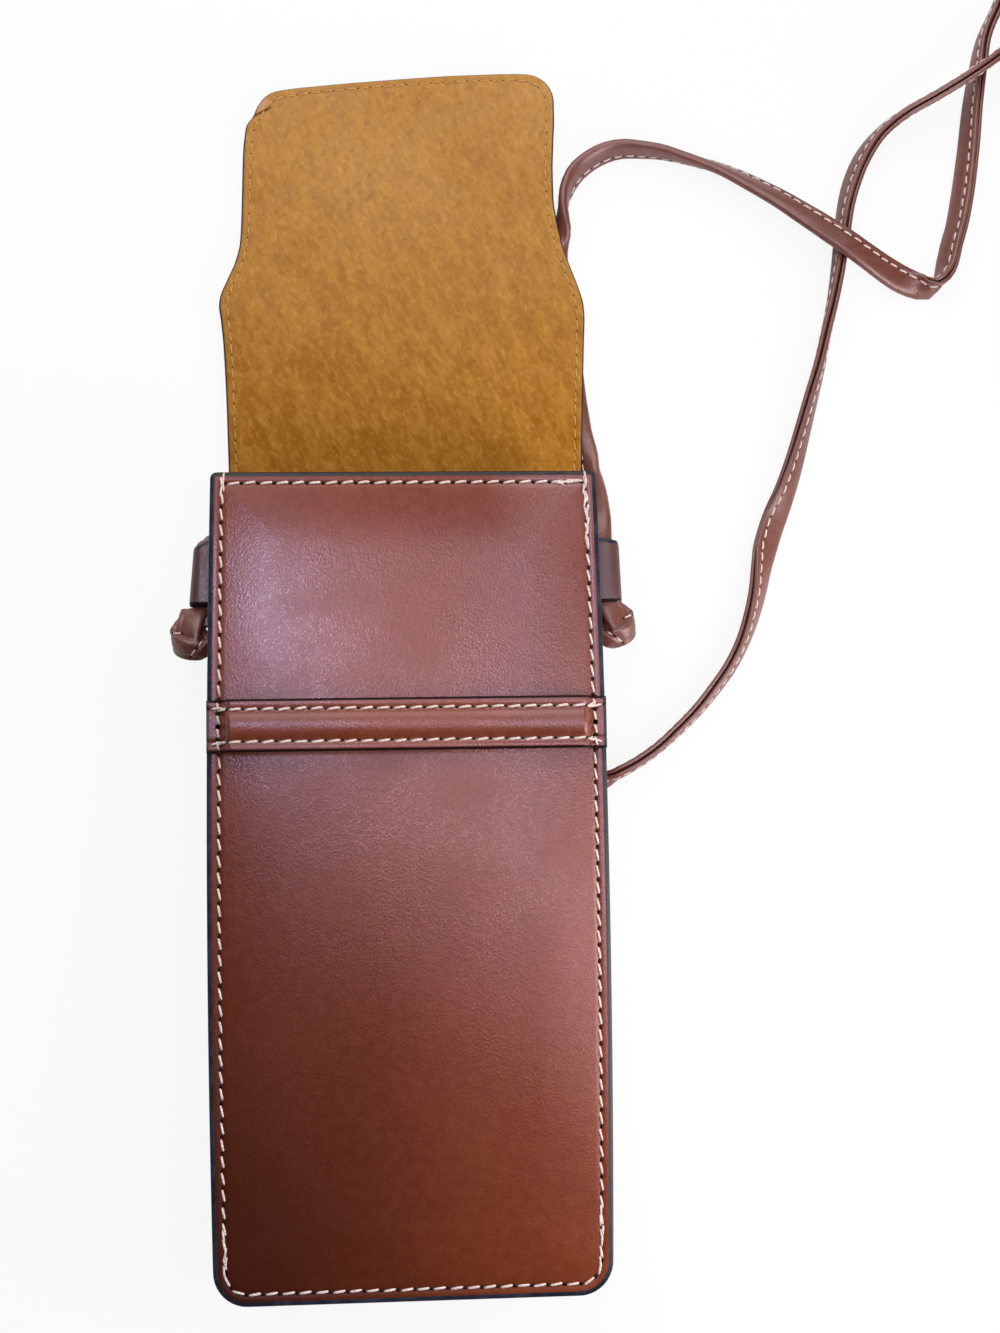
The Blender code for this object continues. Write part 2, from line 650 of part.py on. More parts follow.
def left_run():
    """From inside the left loop, down round the back panel's edge, flat under the case and out to the coil."""
    start = (LOOP_TOP - STRAP_IN_LOOP) / MM
    x = -LOOP_X / MM
    z = LOOP_Z / MM
    rows = [
        in_air(x, start, z, (1, 0, 0)),
        in_air(x, start + 2.7, z, (1, 0, 0)),
        in_air(x, 78.1, 8.2, (1, 0, 0)),
        in_air(x, 78.8, 6.6, (0.99, 0.12, 0)),
        in_air(x, 78.8, 4.6, (0.8, 0.6, 0)),
        in_air(-45.2, 78.5, 2.6, (0.35, 0.94, 0)),
        in_air(-45.5, 78.1, 0.4, (0.05, 1, 0)),
        in_air(-45.5, 77.6, -2.5, (0, 1, 0)),
        in_air(-44.95, 77.4, -4.1, (0, 1, 0)),
        on_table(-43.5, 77.2, -90),
        on_table(-41.3, 76.8, -90),
    ]
    under_case = [(-38, 75.8), (-32, 72.4), (-26.4, 66), (-22.8, 56), (-20.4, 41), (-19, 21), (-17.5, 1), (-13.8, -17)]
    under_case += [(-6, -30), (5, -35.5), (15.5, -32), (23, -21), (28, -6), (33, 8.5), (38.5, 16.5)]
    rows += [on_table(px, py, -90) for px, py in under_case]
    rows += [
        on_table(44.9, 20.6, -88),
        on_table(48.2, 22.4, -50),
        on_table(51.4, 24.0, -15),
        on_table(54.7, 25.8, -8),
        on_table(59.5, 29.1, -8),
        on_table(64.1, 33.1, -10),
        on_table(69.2, 38.0, -13),
        on_table(73.3, 42.8, -17),
        on_table(77.4, 48.3, -20),
        on_table(80.5, 54.1, -24),
        on_table(82.8, 60.1, -31),
        on_table(84.5, 66.1, -39),
        on_table(85.7, 72.2, -52),
        on_table(86.9, 77.1, -72),
        on_table(88.9, 83.0, -76),
        on_table(91.8, 90.0, -55),
        on_table(94.4, 97.5, -43),
        on_table(96.6, 105.1, -34),
        on_table(98.7, 112.5, -27),
        on_table(101.1, 121.0, -18),
        on_table(103.0, 129.6, -9),
        on_table(104.7, 136.9, -2),
        on_table(106.1, 144.3, 5),
        on_table(107.3, 152.3, 11),
        on_table(108.6, 160.5, 18),
        on_table(110.3, 166.4, 24),
        on_table(112.9, 172.2, 24),
        on_table(117.0, 177.8, 16, 0.1),
        on_table(123.6, 183.0, 11, 1.2),
        on_table(131.2, 186.8, 9, 3.6),
        on_table(138.0, 190.6, 9, 5.6),
        on_table(143.6, 194.3, 10, 6.4),
        on_table(148.6, 198.1, 9, 6.1),
        on_table(158.0, 203.8, 6, 4.4),
        on_table(170.0, 211.1, 0, 2.0),
        on_table(182.0, 218.4, 0, 0.4),
    ]
    coil_start = coil_point(0.0)
    rows.append((coil_start - coil_direction(0.0) * 4 * MM, Vector((0, 0, 1))))
    rows.append((coil_start - coil_direction(0.0) * GAP, Vector((0, 0, 1))))
    return rows


def right_run():
    """From inside the right loop, under the flap's ear, round beside the tongue and out to the coil."""
    start = (LOOP_TOP - STRAP_IN_LOOP) / MM
    x = LOOP_X / MM
    z = LOOP_Z / MM
    flat = (-1, 0, 0)
    rows = [
        in_air(x, start, z, flat),
        in_air(x, start + 3.5, z, flat),
        in_air(45.15, 81.5, 7.6, (-1, 0, -0.17)),
        in_air(45.25, 86.0, 4.1, (-0.82, 0, -0.57)),
        in_air(45.5, 90.5, 0.2, (-0.5, 0, -0.87)),
        in_air(45.2, 94.3, -2.9, (-0.5, 0, -0.87)),
        on_table(44.8, 97.4, -130),
        on_table(44.5, 99.7, -110),
        on_table(43.8, 102.2, -98),
        on_table(42.9, 105.0, -90),
        on_table(42.3, 108.0, -90),
        on_table(41.7, 111.5, -90),
        on_table(41.0, 117.5, -90),
        on_table(40.3, 125.0, -90),
        on_table(39.5, 133.0, -90),
        on_table(38.6, 141.0, -90),
        on_table(38.2, 147.0, -90),
        on_table(38.8, 150.4, -95),
        on_table(39.6, 153.3, -114),
        on_table(39.7, 155.8, -150),
        on_table(39.6, 158.3, -178),
        on_table(39.7, 161.2, -190),
        on_table(40.4, 164.1, -200),
        on_table(42.6, 168.2, -210),
        on_table(45.4, 170.8, -210),
        on_table(49.1, 173.0, -207),
        on_table(53.6, 174.3, -199),
        on_table(58.6, 174.2, -190),
        on_table(63.4, 173.6, -181, 0.2),
        on_table(68.2, 172.3, -171, 0.4),
        on_table(73.0, 170.7, -161, 0.8),
        on_table(77.8, 168.9, -151, 1.3),
        on_table(82.5, 166.5, -140, 2.0),
        on_table(87.1, 163.7, -132, 3.0),
        on_table(91.7, 160.7, -124, 4.2),
        on_table(96.3, 157.3, -115, 5.4),
        on_table(101.1, 153.9, -105, 6.3),
        on_table(106.5, 150.3, -98, 6.5),
        on_table(112.1, 146.8, -94, 5.4),
        on_table(118.0, 143.8, -91, 2.8),
        on_table(122.7, 141.8, -84, 0.9),
        on_table(126.2, 140.6, -64),
        on_table(128.6, 139.9, -36),
        on_table(130.6, 140.8, -5),
        on_table(132.2, 143.3, 22),
        on_table(133.5, 147.1, 38),
        on_table(134.5, 151.0, 38),
        on_table(135.8, 155.0, 37),
        on_table(137.4, 162.0, 40),
        on_table(139.5, 174.5, 35),
        on_table(141.2, 187.2, 25),
        on_table(142.6, 194.9, 17),
        on_table(144.4, 202.7, 6),
        on_table(148.5, 211.5, 0),
        on_table(152.0, 222.5, 0),
        on_table(151.0, 234.5, 0, 2.2),
        on_table(148.7, 245.5, 0, 5.6),
    ]
    coil_end = coil_point(COIL_TURNS)
    rows.append((coil_end + coil_direction(COIL_TURNS) * 4 * MM, Vector((0, 0, 1))))
    rows.append((coil_end + coil_direction(COIL_TURNS) * GAP, Vector((0, 0, 1))))
    return rows


# The coil: on edge, it spirals in on the table, climbs one layer in its innermost half turn and spirals out again


def coil_depth(turn):
    """How many turns' pitch the strap lies inside the coil's outermost turn."""
    middle = COIL_TURNS / 2
    away = abs(turn - middle)
    if away <= 0.25:
        return middle + 0.25
    if away <= 0.75:
        return middle + 0.25 - 2 * (away - 0.25)
    return middle - away


def coil_point(turn):
    angle = math.radians(COIL_START_DEGREES) + 2 * math.pi * turn
    radius = COIL_RADIUS - (STRAP_THICKNESS + COIL_CLEARANCE) * coil_depth(turn)
    climb = min(max((turn - COIL_TURNS / 2 + 0.25) / 0.5, 0.0), 1.0)
    layer = (STRAP_WIDTH + COIL_CLEARANCE) * climb * climb * (3 - 2 * climb)
    from_tie = (turn - TIE_TURN + 0.5) % 1.0 - 0.5
    bump = (2 * TIE_RADIUS + GAP) * math.exp(-((from_tie / TIE_SPREAD) ** 2))
    x = COIL_CENTRE[0] + radius * math.cos(angle)
    y = COIL_CENTRE[1] + radius * math.sin(angle)
    return Vector((x, y, TABLE + STRAP_WIDTH / 2 + layer + bump))


def coil_direction(turn):
    low = max(turn - 0.004, 0.0)
    high = min(turn + 0.004, COIL_TURNS)
    return (coil_point(high) - coil_point(low)).normalized()


def least_gap(stations):
    """The least clear distance between the coil's own turns, from points along each section's middle line."""
    core = (STRAP_WIDTH - STRAP_THICKNESS) / 2
    line = []
    along = []
    travelled = 0.0
    previous = coil_point(stations[0])
    for turn in stations:
        point = coil_point(turn)
        travelled += (point - previous).length
        previous = point
        across = across_from_tilt(coil_direction(turn), 0.0)
        for share in (-1.0, -0.5, 0.0, 0.5, 1.0):
            line.append((point + across * core * share)[:])
            along.append(travelled)
    line = np.array(line)
    along = np.array(along)
    least = math.inf
    for point, place in zip(line, along):
        far = line[np.abs(along - place) > 4 * STRAP_WIDTH]
        least = min(least, float(np.linalg.norm(far - point, axis=1).min()))
    return least - STRAP_THICKNESS


def make_strap():
    left = smooth_strap(left_run(), run_steps(28.5 * MM, 1.5 * MM, 5.0 * MM))
    right = smooth_strap(right_run(), run_steps(32 * MM, 2 * MM, 3.4 * MM))
    strap_solid("strap_left_run", left)
    strap_solid("strap_right_run", right)
    count = int(math.ceil(COIL_TURNS * COIL_POINTS_A_TURN))
    turns = [COIL_TURNS * i / count for i in range(count + 1)]
    coil = [(coil_point(turn), Vector((0, 0, 1))) for turn in turns]
    strap_solid("strap_coil", coil)
    fine = [COIL_TURNS * i / (8 * count) for i in range(8 * count + 1)]
    length = sum(run_length([p for p, _ in route]) for route in (left, right, coil))
    print("coil's least gap to itself, mm:", round(least_gap(fine) / MM, 3))
    print("strap's length from loop to loop, mm:", round(length / MM, 1), "points:", len(left), len(right))
    make_tie()


def run_length(points):
    return sum((b - a).length for a, b in zip(points, points[1:]))


def make_tie():
    """A thin tie round the two layers of the coil."""
    middle = (coil_point(TIE_TURN) + coil_point(TIE_TURN + 1)) / 2
    outward = Vector((middle.x - COIL_CENTRE[0], middle.y - COIL_CENTRE[1], 0)).normalized()
    half_out = STRAP_THICKNESS / 2 + GAP + TIE_RADIUS
    half_up = STRAP_WIDTH + COIL_CLEARANCE / 2 + GAP + TIE_RADIUS
    corner = STRAP_THICKNESS / 2
    loop = []
    for across, up, start in ((1, -1, -90), (1, 1, 0), (-1, 1, 90), (-1, -1, 180)):
        centre = (across * (half_out - corner), up * (half_up - corner))
        loop += arc(centre, corner, start, start + 90, 3)
    points = [middle + outward * a + Vector((0, 0, b)) for a, b in loop]
    tube("strap_tie", points, TIE_RADIUS, THREAD_MATERIAL, closed=True)


make_panels()
make_gusset()
make_band()
make_flap()
hang_flap()
for body_side, prefix in ((-1, "left"), (1, "right")):
    make_loop(prefix + "_strap_loop", body_side)
    make_knot(prefix + "_knot", body_side)
make_strap()
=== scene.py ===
import math

import bmesh
import bpy
import numpy as np
from mathutils import Matrix, Vector


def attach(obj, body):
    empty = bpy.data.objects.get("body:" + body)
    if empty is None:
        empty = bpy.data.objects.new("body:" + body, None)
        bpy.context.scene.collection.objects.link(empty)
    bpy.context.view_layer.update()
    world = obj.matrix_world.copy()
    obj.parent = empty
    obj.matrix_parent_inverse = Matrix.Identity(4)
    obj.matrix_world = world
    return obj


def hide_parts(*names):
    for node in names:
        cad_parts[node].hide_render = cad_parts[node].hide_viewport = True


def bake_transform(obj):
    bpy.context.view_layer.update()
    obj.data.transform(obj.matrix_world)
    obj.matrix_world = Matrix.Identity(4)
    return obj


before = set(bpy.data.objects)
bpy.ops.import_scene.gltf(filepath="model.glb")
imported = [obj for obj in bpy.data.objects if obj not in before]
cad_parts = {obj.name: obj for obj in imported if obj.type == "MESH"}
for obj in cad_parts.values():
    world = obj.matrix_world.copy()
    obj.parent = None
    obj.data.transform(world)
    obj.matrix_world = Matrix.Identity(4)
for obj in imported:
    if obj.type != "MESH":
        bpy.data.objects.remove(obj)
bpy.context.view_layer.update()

# Sizes in this script are in millimetres, in the frame's own axes; meshes are written in metres
MM = 0.001

FOOT_Y = -91.0
MOUTH_Y = 91.0
BACK = -3.2
TABLE = -6.0
SUEDE_LEVEL = -1.1
SPLIT_Y = 102.6
PANEL_MID_WIDTH = 88.8
PANEL_END_WIDTH = 86.5
FOOT_RADIUS = 7.5
MOUTH_RADIUS = 1.5
SEAM_INSET = 2.7
FLAP_SEAM_INSET = 1.9
LAYER_GAP = 0.3
LOOP_X = 45.05
LOOP_Z = 8.8
LOOP_TOP = 76.7
LOOP_FOOT = 61.9
BAND_Y = 34.0
BAND_UNDERSIDE = 24.5
STRAP_WIDTH = 6.0
STRAP_THICKNESS = 2.5
UP = np.array([0.0, 0.0, 1.0])
DOWN = -UP


def unit(vectors):
    return vectors / np.linalg.norm(vectors, axis=-1, keepdims=True)


def ease(low, high, value):
    share = np.clip((value - low) / (high - low), 0.0, 1.0)
    return share * share * (3 - 2 * share)


def smooth(places, values, targets, level=True):
    """A smooth curve through values at places; a level one never swings past them."""
    places, values, targets = (np.asarray(part, float) for part in (places, values, targets))
    steps = np.diff(places)
    rates = np.diff(values) / steps
    before, after = rates[:-1], rates[1:]
    if level:
        same = before * after > 0
        total = np.where(same, before + after, 1.0)
        middle = np.where(same, 2 * before * after / total, 0.0)
    else:
        middle = (before * steps[1:] + after * steps[:-1]) / (steps[1:] + steps[:-1])
    slope = np.concatenate([rates[:1], middle, rates[-1:]])
    index = np.clip(np.searchsorted(places, targets, side="right") - 1, 0, len(places) - 2)
    step = places[index + 1] - places[index]
    t = (targets - places[index]) / step
    start = (1 + 2 * t) * (1 - t) ** 2 * values[index] + t * (1 - t) ** 2 * step * slope[index]
    end = t**2 * (3 - 2 * t) * values[index + 1] - t**2 * (1 - t) * step * slope[index + 1]
    return start + end


def lengths_along(points):
    return np.concatenate([[0.0], np.cumsum(np.linalg.norm(np.diff(points, axis=0), axis=1))])


def sampled(points, places, targets):
    """Rows between those of points, where places says how far along each row lies."""
    return np.stack([np.interp(targets, places, values) for values in points.T], axis=1)


def resample(points, count):
    """The same line as count even steps."""
    places = lengths_along(points)
    return sampled(points, places, np.linspace(0, places[-1], count + 1))


def directions(points):
    return unit(np.gradient(points, axis=0))


def corner(x, y, radius, start, end, steps):
    angles = np.radians(np.linspace(start, end, steps + 1))
    return np.stack([x + radius * np.cos(angles), y + radius * np.sin(angles)], axis=1)


def line(start, end, steps):
    return np.linspace(start, end, steps + 1)


def past(x, y, place, across):
    """How far x, y is past a line through place in the direction across."""
    return (x - place[0]) * across[0] + (y - place[1]) * across[1]


def at_height(flat, z):
    return np.column_stack([flat, np.broadcast_to(z, flat.shape[:1])])


def square_to(along, vectors):
    """The part of the vectors that is square to the directions along, as directions."""
    return unit(vectors - along * np.sum(along * vectors, axis=1, keepdims=True))


def placed(name, data):
    """A new object in the scene."""
    obj = bpy.data.objects.new(name, data)
    bpy.context.scene.collection.objects.link(obj)
    return obj


def add_camera():
    data = bpy.data.cameras.new("photo_camera")
    data.sensor_fit = "AUTO"
    data.sensor_width = 36.0
    data.lens = 36.0 * 1960 / 1333
    data.clip_start = 0.01
    data.clip_end = 20.0
    camera = placed("photo_camera", data)
    camera.location = (-0.01008, 0.00923, 0.45526)
    camera.rotation_euler = (0.08715, -0.06937, -0.01722)
    bpy.context.scene.camera = camera


# Node materials


def srgb(red, green, blue):
    """An sRGB colour of 0 to 255 as the linear colour that a shader takes."""
    shares = np.array((red, green, blue)) / 255
    linear = np.where(shares <= 0.04045, shares / 12.92, ((shares + 0.055) / 1.055) ** 2.4)
    return (*linear.tolist(), 1.0)


def feed(tree, socket, source):
    """Links an output to the socket, or gives the socket a plain value."""
    if hasattr(source, "is_output"):
        tree.links.new(source, socket)
    else:
        socket.default_value = source


def add_node(tree, kind, output, inputs=None, **settings):
    """A new node with its inputs fed by name or number; gives the output asked for."""
    node = tree.nodes.new("ShaderNode" + kind)
    for name, value in settings.items():
        setattr(node, name, value)
    for socket, source in (inputs or {}).items():
        feed(tree, node.inputs[socket], source)
    return node.outputs[output]


class Paint:
    """A material that is built up from procedural textures in the object's own metres."""

    def __init__(self, name, **uniform):
        self.material = bpy.data.materials.new(name)
        self.material.use_nodes = True
        self.tree = self.material.node_tree
        self.shader = self.tree.nodes["Principled BSDF"]
        self.where = add_node(self.tree, "TexCoord", "Object")
        for socket, value in uniform.items():
            self.give(socket.replace("_", " "), value)

    def give(self, socket, source):
        feed(self.tree, self.shader.inputs[socket], source)

    def stretched(self, stretch, turn):
        """The place turned back by turn and then scaled, so that a pattern's long side leans by turn."""
        inputs = {"Vector": self.where, "Rotation": (0.0, 0.0, math.radians(turn))}
        inputs["Scale"] = [1 / share for share in stretch]
        return add_node(self.tree, "Mapping", "Vector", inputs, vector_type="TEXTURE")

    def noise(self, scale, detail=3.0, rough=0.5, stretch=None, turn=0.0):
        where = self.stretched(stretch, turn) if stretch else self.where
        inputs = {"Vector": where, "Scale": scale, "Detail": detail, "Roughness": rough}
        return add_node(self.tree, "TexNoise", "Fac", inputs)

    def cells(self, scale, stretch, turn):
        inputs = {"Vector": self.stretched(stretch, turn), "Scale": scale}
        return add_node(self.tree, "TexVoronoi", "Distance", inputs, feature="SMOOTH_F1")

    def ranged(self, value, low, high, start=0.0, end=1.0):
        inputs = {"Value": value, "From Min": low, "From Max": high, "To Min": start, "To Max": end}
        return add_node(self.tree, "MapRange", "Result", inputs, interpolation_type="SMOOTHSTEP")

    def maths(self, operation, first, second):
        return add_node(self.tree, "Math", "Value", {0: first, 1: second}, operation=operation)

    def both(self, share, *masks):
        for mask in masks:
            share = self.maths("MULTIPLY", share, mask)
        return share

    def mixed(self, share, first, second):
        return add_node(self.tree, "Mix", 2, {"Factor": share, 6: first, 7: second}, data_type="RGBA")

    def over(self, base, mask, amount, colour):
        """Base with a colour laid over it by the mask, at most by amount."""
        return self.mixed(self.both(mask, amount), base, colour)

    def coordinate(self, axis):
        return add_node(self.tree, "SeparateXYZ", axis, {"Vector": self.where})

    def along(self, axis, low, high, start=0.0, end=1.0):
        """A soft step along one axis, in metres."""
        return self.ranged(self.coordinate(axis), low, high, start, end)

    def slope(self, place, across):
        """Metres past a line through place, which is in millimetres, in the direction across."""
        x = self.both(self.coordinate("X"), across[0])
        y = self.both(self.coordinate("Y"), across[1])
        start = (place[0] * across[0] + place[1] * across[1]) * MM
        return self.maths("SUBTRACT", self.maths("ADD", x, y), start)

    def finished(self, colour, rough, *layers):
        """The material with its colour, roughness and height layers, each as (source, height in metres)."""
        self.give("Base Color", colour)
        self.give("Roughness", rough)
        below = {}
        for source, height in layers:
            inputs = {"Distance": height, "Strength": 1.0, "Height": source, **below}
            below = {"Normal": add_node(self.tree, "Bump", "Normal", inputs)}
        if layers:
            self.give("Normal", below["Normal"])
        return self.material


def grained_leather(name, dark, middle, light, grain=2700.0, depth=0.00003, gloss=0.3, shine=0.5, painted_shade_colour=None):
    """Dyed calf leather: a fine leaning pebble with soft creases and rubbed tops."""
    paint = Paint(name, Specular_Tint=srgb(255, 240, 242), Specular_IOR_Level=shine)
    cloud = paint.ranged(paint.noise(24.0, 4.0, 0.55), 0.3, 0.7)
    fleck = paint.ranged(paint.noise(420.0, 4.0, 0.65), 0.34, 0.7)
    crease = paint.ranged(paint.cells(grain, (1.0, 0.62, 1.0), -36.0), 0.1, 0.62)
    base = paint.over(paint.mixed(cloud, dark, middle), fleck, 0.3, light)
    base = paint.over(base, crease, 0.3, dark)
    # Where a shade colour is given: painted shade toward the lower left and a painted sheen set by place
    if painted_shade_colour:
        base = painted_shade_and_sheen(paint, base, painted_shade_colour)
    rub = paint.maths("ADD", paint.noise(60.0, 3.0), paint.both(crease, 0.3))
    rough = paint.ranged(rub, 0.35, 0.95, gloss - 0.05, gloss + 0.08)
    wrinkle = paint.noise(1600.0, 2.0, 0.5, (1.0, 0.42, 1.0), -36.0)
    return paint.finished(base, rough, (paint.noise(80.0, 2.0), depth), (wrinkle, depth * 0.75),
                          (paint.both(crease, -1.0), depth * 0.7))


def painted_shade_and_sheen(paint, base, painted_shade_colour):
    """Painted shade that darkens the colour toward the lower left, and a painted sheen: a specular level and
    tint set by place, which grows and cools toward the upper right.
    """
    # Painted shade: the lower left, where the colour is darkened
    low = paint.along("Y", -0.1, 0.06, 1.0, 0.0)
    left = paint.along("X", -0.05, 0.05, 1.0, 0.0)
    # Painted sheen: where the specular level is raised, and how its tint changes by place
    right = paint.along("X", 0.004, 0.036)
    rise = paint.ranged(paint.slope((0, 0), (1.0, 1.0)), -0.077, 0.06)
    fall = paint.maths("MAXIMUM", paint.along("Y", 0.066, 0.084, 1.0, 0.4), paint.both(right, 0.95))
    paint.give("Specular IOR Level", paint.ranged(paint.both(rise, fall), 0.0, 1.0, 0.12, 1.0))
    pale = paint.both(right, paint.along("Y", 0.005, 0.05, 0.15, 1.0))
    rosy = paint.both(paint.along("X", -0.037, -0.004), paint.maths("SUBTRACT", 1.0, pale))
    paint.give("Specular Tint", paint.mixed(rosy, srgb(255, 236, 252), srgb(255, 211, 213)))
    return paint.mixed(paint.both(low, left), base, painted_shade_colour)


# The crease at the tip's left corner and the curl above it: places, and directions from them
CREASE_AT = (-34.6, 180.8)
CREASE_UP = (-0.447, 0.894)
CURL_AT = (-34.15, 181.35)
CURL_INWARD = (0.789, -0.614)
CURL_ALONG = (0.614, 0.789)


def mustard_suede():
    """Suede with its nap brushed in patches, loose fibres, wear lines near the fold, and a painted highlight
    and painted shadow at the creased corner.
    """
    paint = Paint("mustard_suede", Sheen_Weight=0.15, Sheen_Roughness=0.5, Sheen_Tint=srgb(255, 210, 160),
                  Specular_IOR_Level=0.1)
    patch = paint.ranged(paint.noise(34.0, 5.0, 0.62), 0.32, 0.68)
    nap = paint.ranged(paint.noise(420.0, 4.0, 0.6, (1.0, 0.36, 1.0), 24.0), 0.3, 0.7)
    fibre = paint.ranged(paint.noise(900.0, 3.0, 0.65, (1.0, 0.5, 1.0), 30.0), 0.45, 0.75)
    dent = paint.ranged(paint.noise(700.0, 3.0, 0.6, (1.0, 0.6, 1.0), -50.0), 0.5, 0.75)
    streak = paint.ranged(paint.noise(240.0, 4.0, 0.7, (0.3, 4.6, 1.0)), 0.52, 0.74)
    base = paint.mixed(paint.along("Y", 0.09, 0.185), srgb(142, 86, 4), srgb(176, 128, 76))
    for mask, amount, colour in ((patch, 0.4, (146, 90, 18)), (nap, 0.36, (204, 150, 68)),
                                 (dent, 0.3, (124, 74, 12)), (fibre, 0.3, (220, 168, 84))):
        base = paint.over(base, mask, amount, srgb(*colour))
    near_fold = paint.along("Y", 0.088, 0.116, 1.0, 0.0)
    lines = paint.both(streak, near_fold, paint.ranged(fibre, 0.0, 1.0, 0.3, 0.5))
    base = paint.mixed(lines, base, srgb(104, 58, 14))
    above = paint.slope(CREASE_AT, CREASE_UP)
    inward = paint.slope(CURL_AT, CURL_INWARD)
    # Painted highlight: the curled strip at the tip's left corner is coloured paler and pinker
    curl_highlight = paint.both(paint.ranged(above, 0.0, 0.0003), paint.ranged(inward, 0.001, 0.0014, 1.0, 0.0),
                      paint.ranged(paint.slope(CURL_AT, CURL_ALONG), 0.004, 0.0055, 1.0, 0.0))
    base = paint.over(base, curl_highlight, 0.75, srgb(196, 150, 110))
    # Painted shadow: a dark line along the crease below the curl
    crease = paint.both(paint.ranged(above, -0.0007, -0.0001), paint.ranged(above, 0.0, 0.0002, 1.0, 0.0),
                        paint.ranged(inward, 0.0019, 0.0026, 1.0, 0.0))
    base = paint.over(base, crease, 0.85, srgb(74, 40, 14))
    return paint.finished(base, paint.ranged(nap, 0.0, 1.0, 0.84, 0.98), (nap, 0.0001), (fibre, 0.00005),
                          (dent, -0.00005))


def edge_paint():
    """Dark edge paint that is slightly wavy and worn, and browner at the mouth."""
    paint = Paint("edge_paint", Specular_IOR_Level=0.35)
    worn = paint.ranged(paint.noise(240.0, 4.0, 0.6), 0.35, 0.75)
    mouth = paint.both(paint.along("Y", 0.0897, 0.0905), paint.along("Y", 0.0925, 0.0935, 1.0, 0.0))
    blue = paint.mixed(worn, srgb(24, 27, 40), srgb(48, 50, 66))
    return paint.finished(paint.mixed(mouth, blue, srgb(20, 11, 12)), paint.ranged(worn, 0.0, 1.0, 0.34, 0.5),
                          (paint.noise(420.0, 3.0), 0.00006))


def fibrous(name, shine, noise, dark, light, rough, height):
    """Loose fibres: the cut side of leather, or pressed board."""
    paint = Paint(name, Specular_IOR_Level=shine)
    fibre = paint.ranged(paint.noise(*noise), 0.3, 0.7)
    rough = paint.ranged(fibre, 0.0, 1.0, *rough)
    return paint.finished(paint.mixed(fibre, dark, light), rough, (fibre, height))


def painted_shade_dark():
    """Near-black painted shade for gaps and recesses: the needle's holes, the strap's groove and ends, the
    band's edges and backing, and the loop's foot; between two glued layers it also stands for real dark dye.
    """
    paint = Paint("painted_shade_dark", Specular_IOR_Level=0.15)
    spread = paint.noise(700.0, 3.0)
    return paint.finished(paint.mixed(spread, srgb(12, 4, 6), srgb(40, 12, 14)),
                          paint.ranged(spread, 0.3, 0.7, 0.5, 0.75))


def twisted_thread(name, light, shade):
    """Waxed thread: fine ply lines and a soft gloss."""
    paint = Paint(name, Specular_IOR_Level=0.4, Sheen_Weight=0.1)
    ply = paint.ranged(paint.noise(2600.0, 2.0, 0.5, (1.0, 1.0, 1.4), 35.0), 0.35, 0.65)
    soil = paint.ranged(paint.noise(160.0, 3.0, 0.6), 0.3, 0.8)
    base = paint.over(paint.mixed(ply, shade, light), soil, 0.25, shade)
    return paint.finished(base, paint.ranged(ply, 0.0, 1.0, 0.55, 0.72), (ply, 0.00004))


# The case leather carries the painted shade toward the lower left and the painted sheen
LEATHER = grained_leather("case_leather", srgb(106, 45, 25), srgb(121, 56, 31), srgb(146, 82, 54),
                          painted_shade_colour=srgb(62, 24, 10))
# The loops' copy of the case leather, darker and greyer, with the grey sheen and shade of the loops painted
# into its colour
LOOP_SHEEN_LEATHER = grained_leather("loop_leather", srgb(72, 38, 34), srgb(84, 46, 42), srgb(108, 72, 70),
                               2000.0, 0.00002, 0.4, 1.0)
STRAP_LEATHER = grained_leather("strap_leather", srgb(100, 54, 42), srgb(117, 67, 55), srgb(144, 94, 80),
                                2000.0, 0.000025, 0.34, 0.9)
SUEDE = mustard_suede()
EDGE = edge_paint()
CUT = fibrous("cut_leather", 0.25, (1300.0, 4.0, 0.7), srgb(98, 50, 40), srgb(150, 98, 84), (0.65, 0.85),
              0.00005)
PAINTED_SHADE = painted_shade_dark()
CREAM_THREAD = twisted_thread("cream_thread", srgb(244, 230, 222), srgb(208, 182, 170))
TAN_THREAD = twisted_thread("tan_thread", srgb(222, 172, 104), srgb(180, 126, 62))
TIE_CORD = twisted_thread("tie_cord", srgb(120, 76, 62), srgb(82, 46, 38))
BOARD = fibrous("grey_board", 0.2, (500.0, 5.0, 0.7), srgb(146, 136, 122), srgb(182, 172, 156), (0.8, 0.95),
                0.00006)
SKINS = [LEATHER, EDGE, CUT]


# Meshes


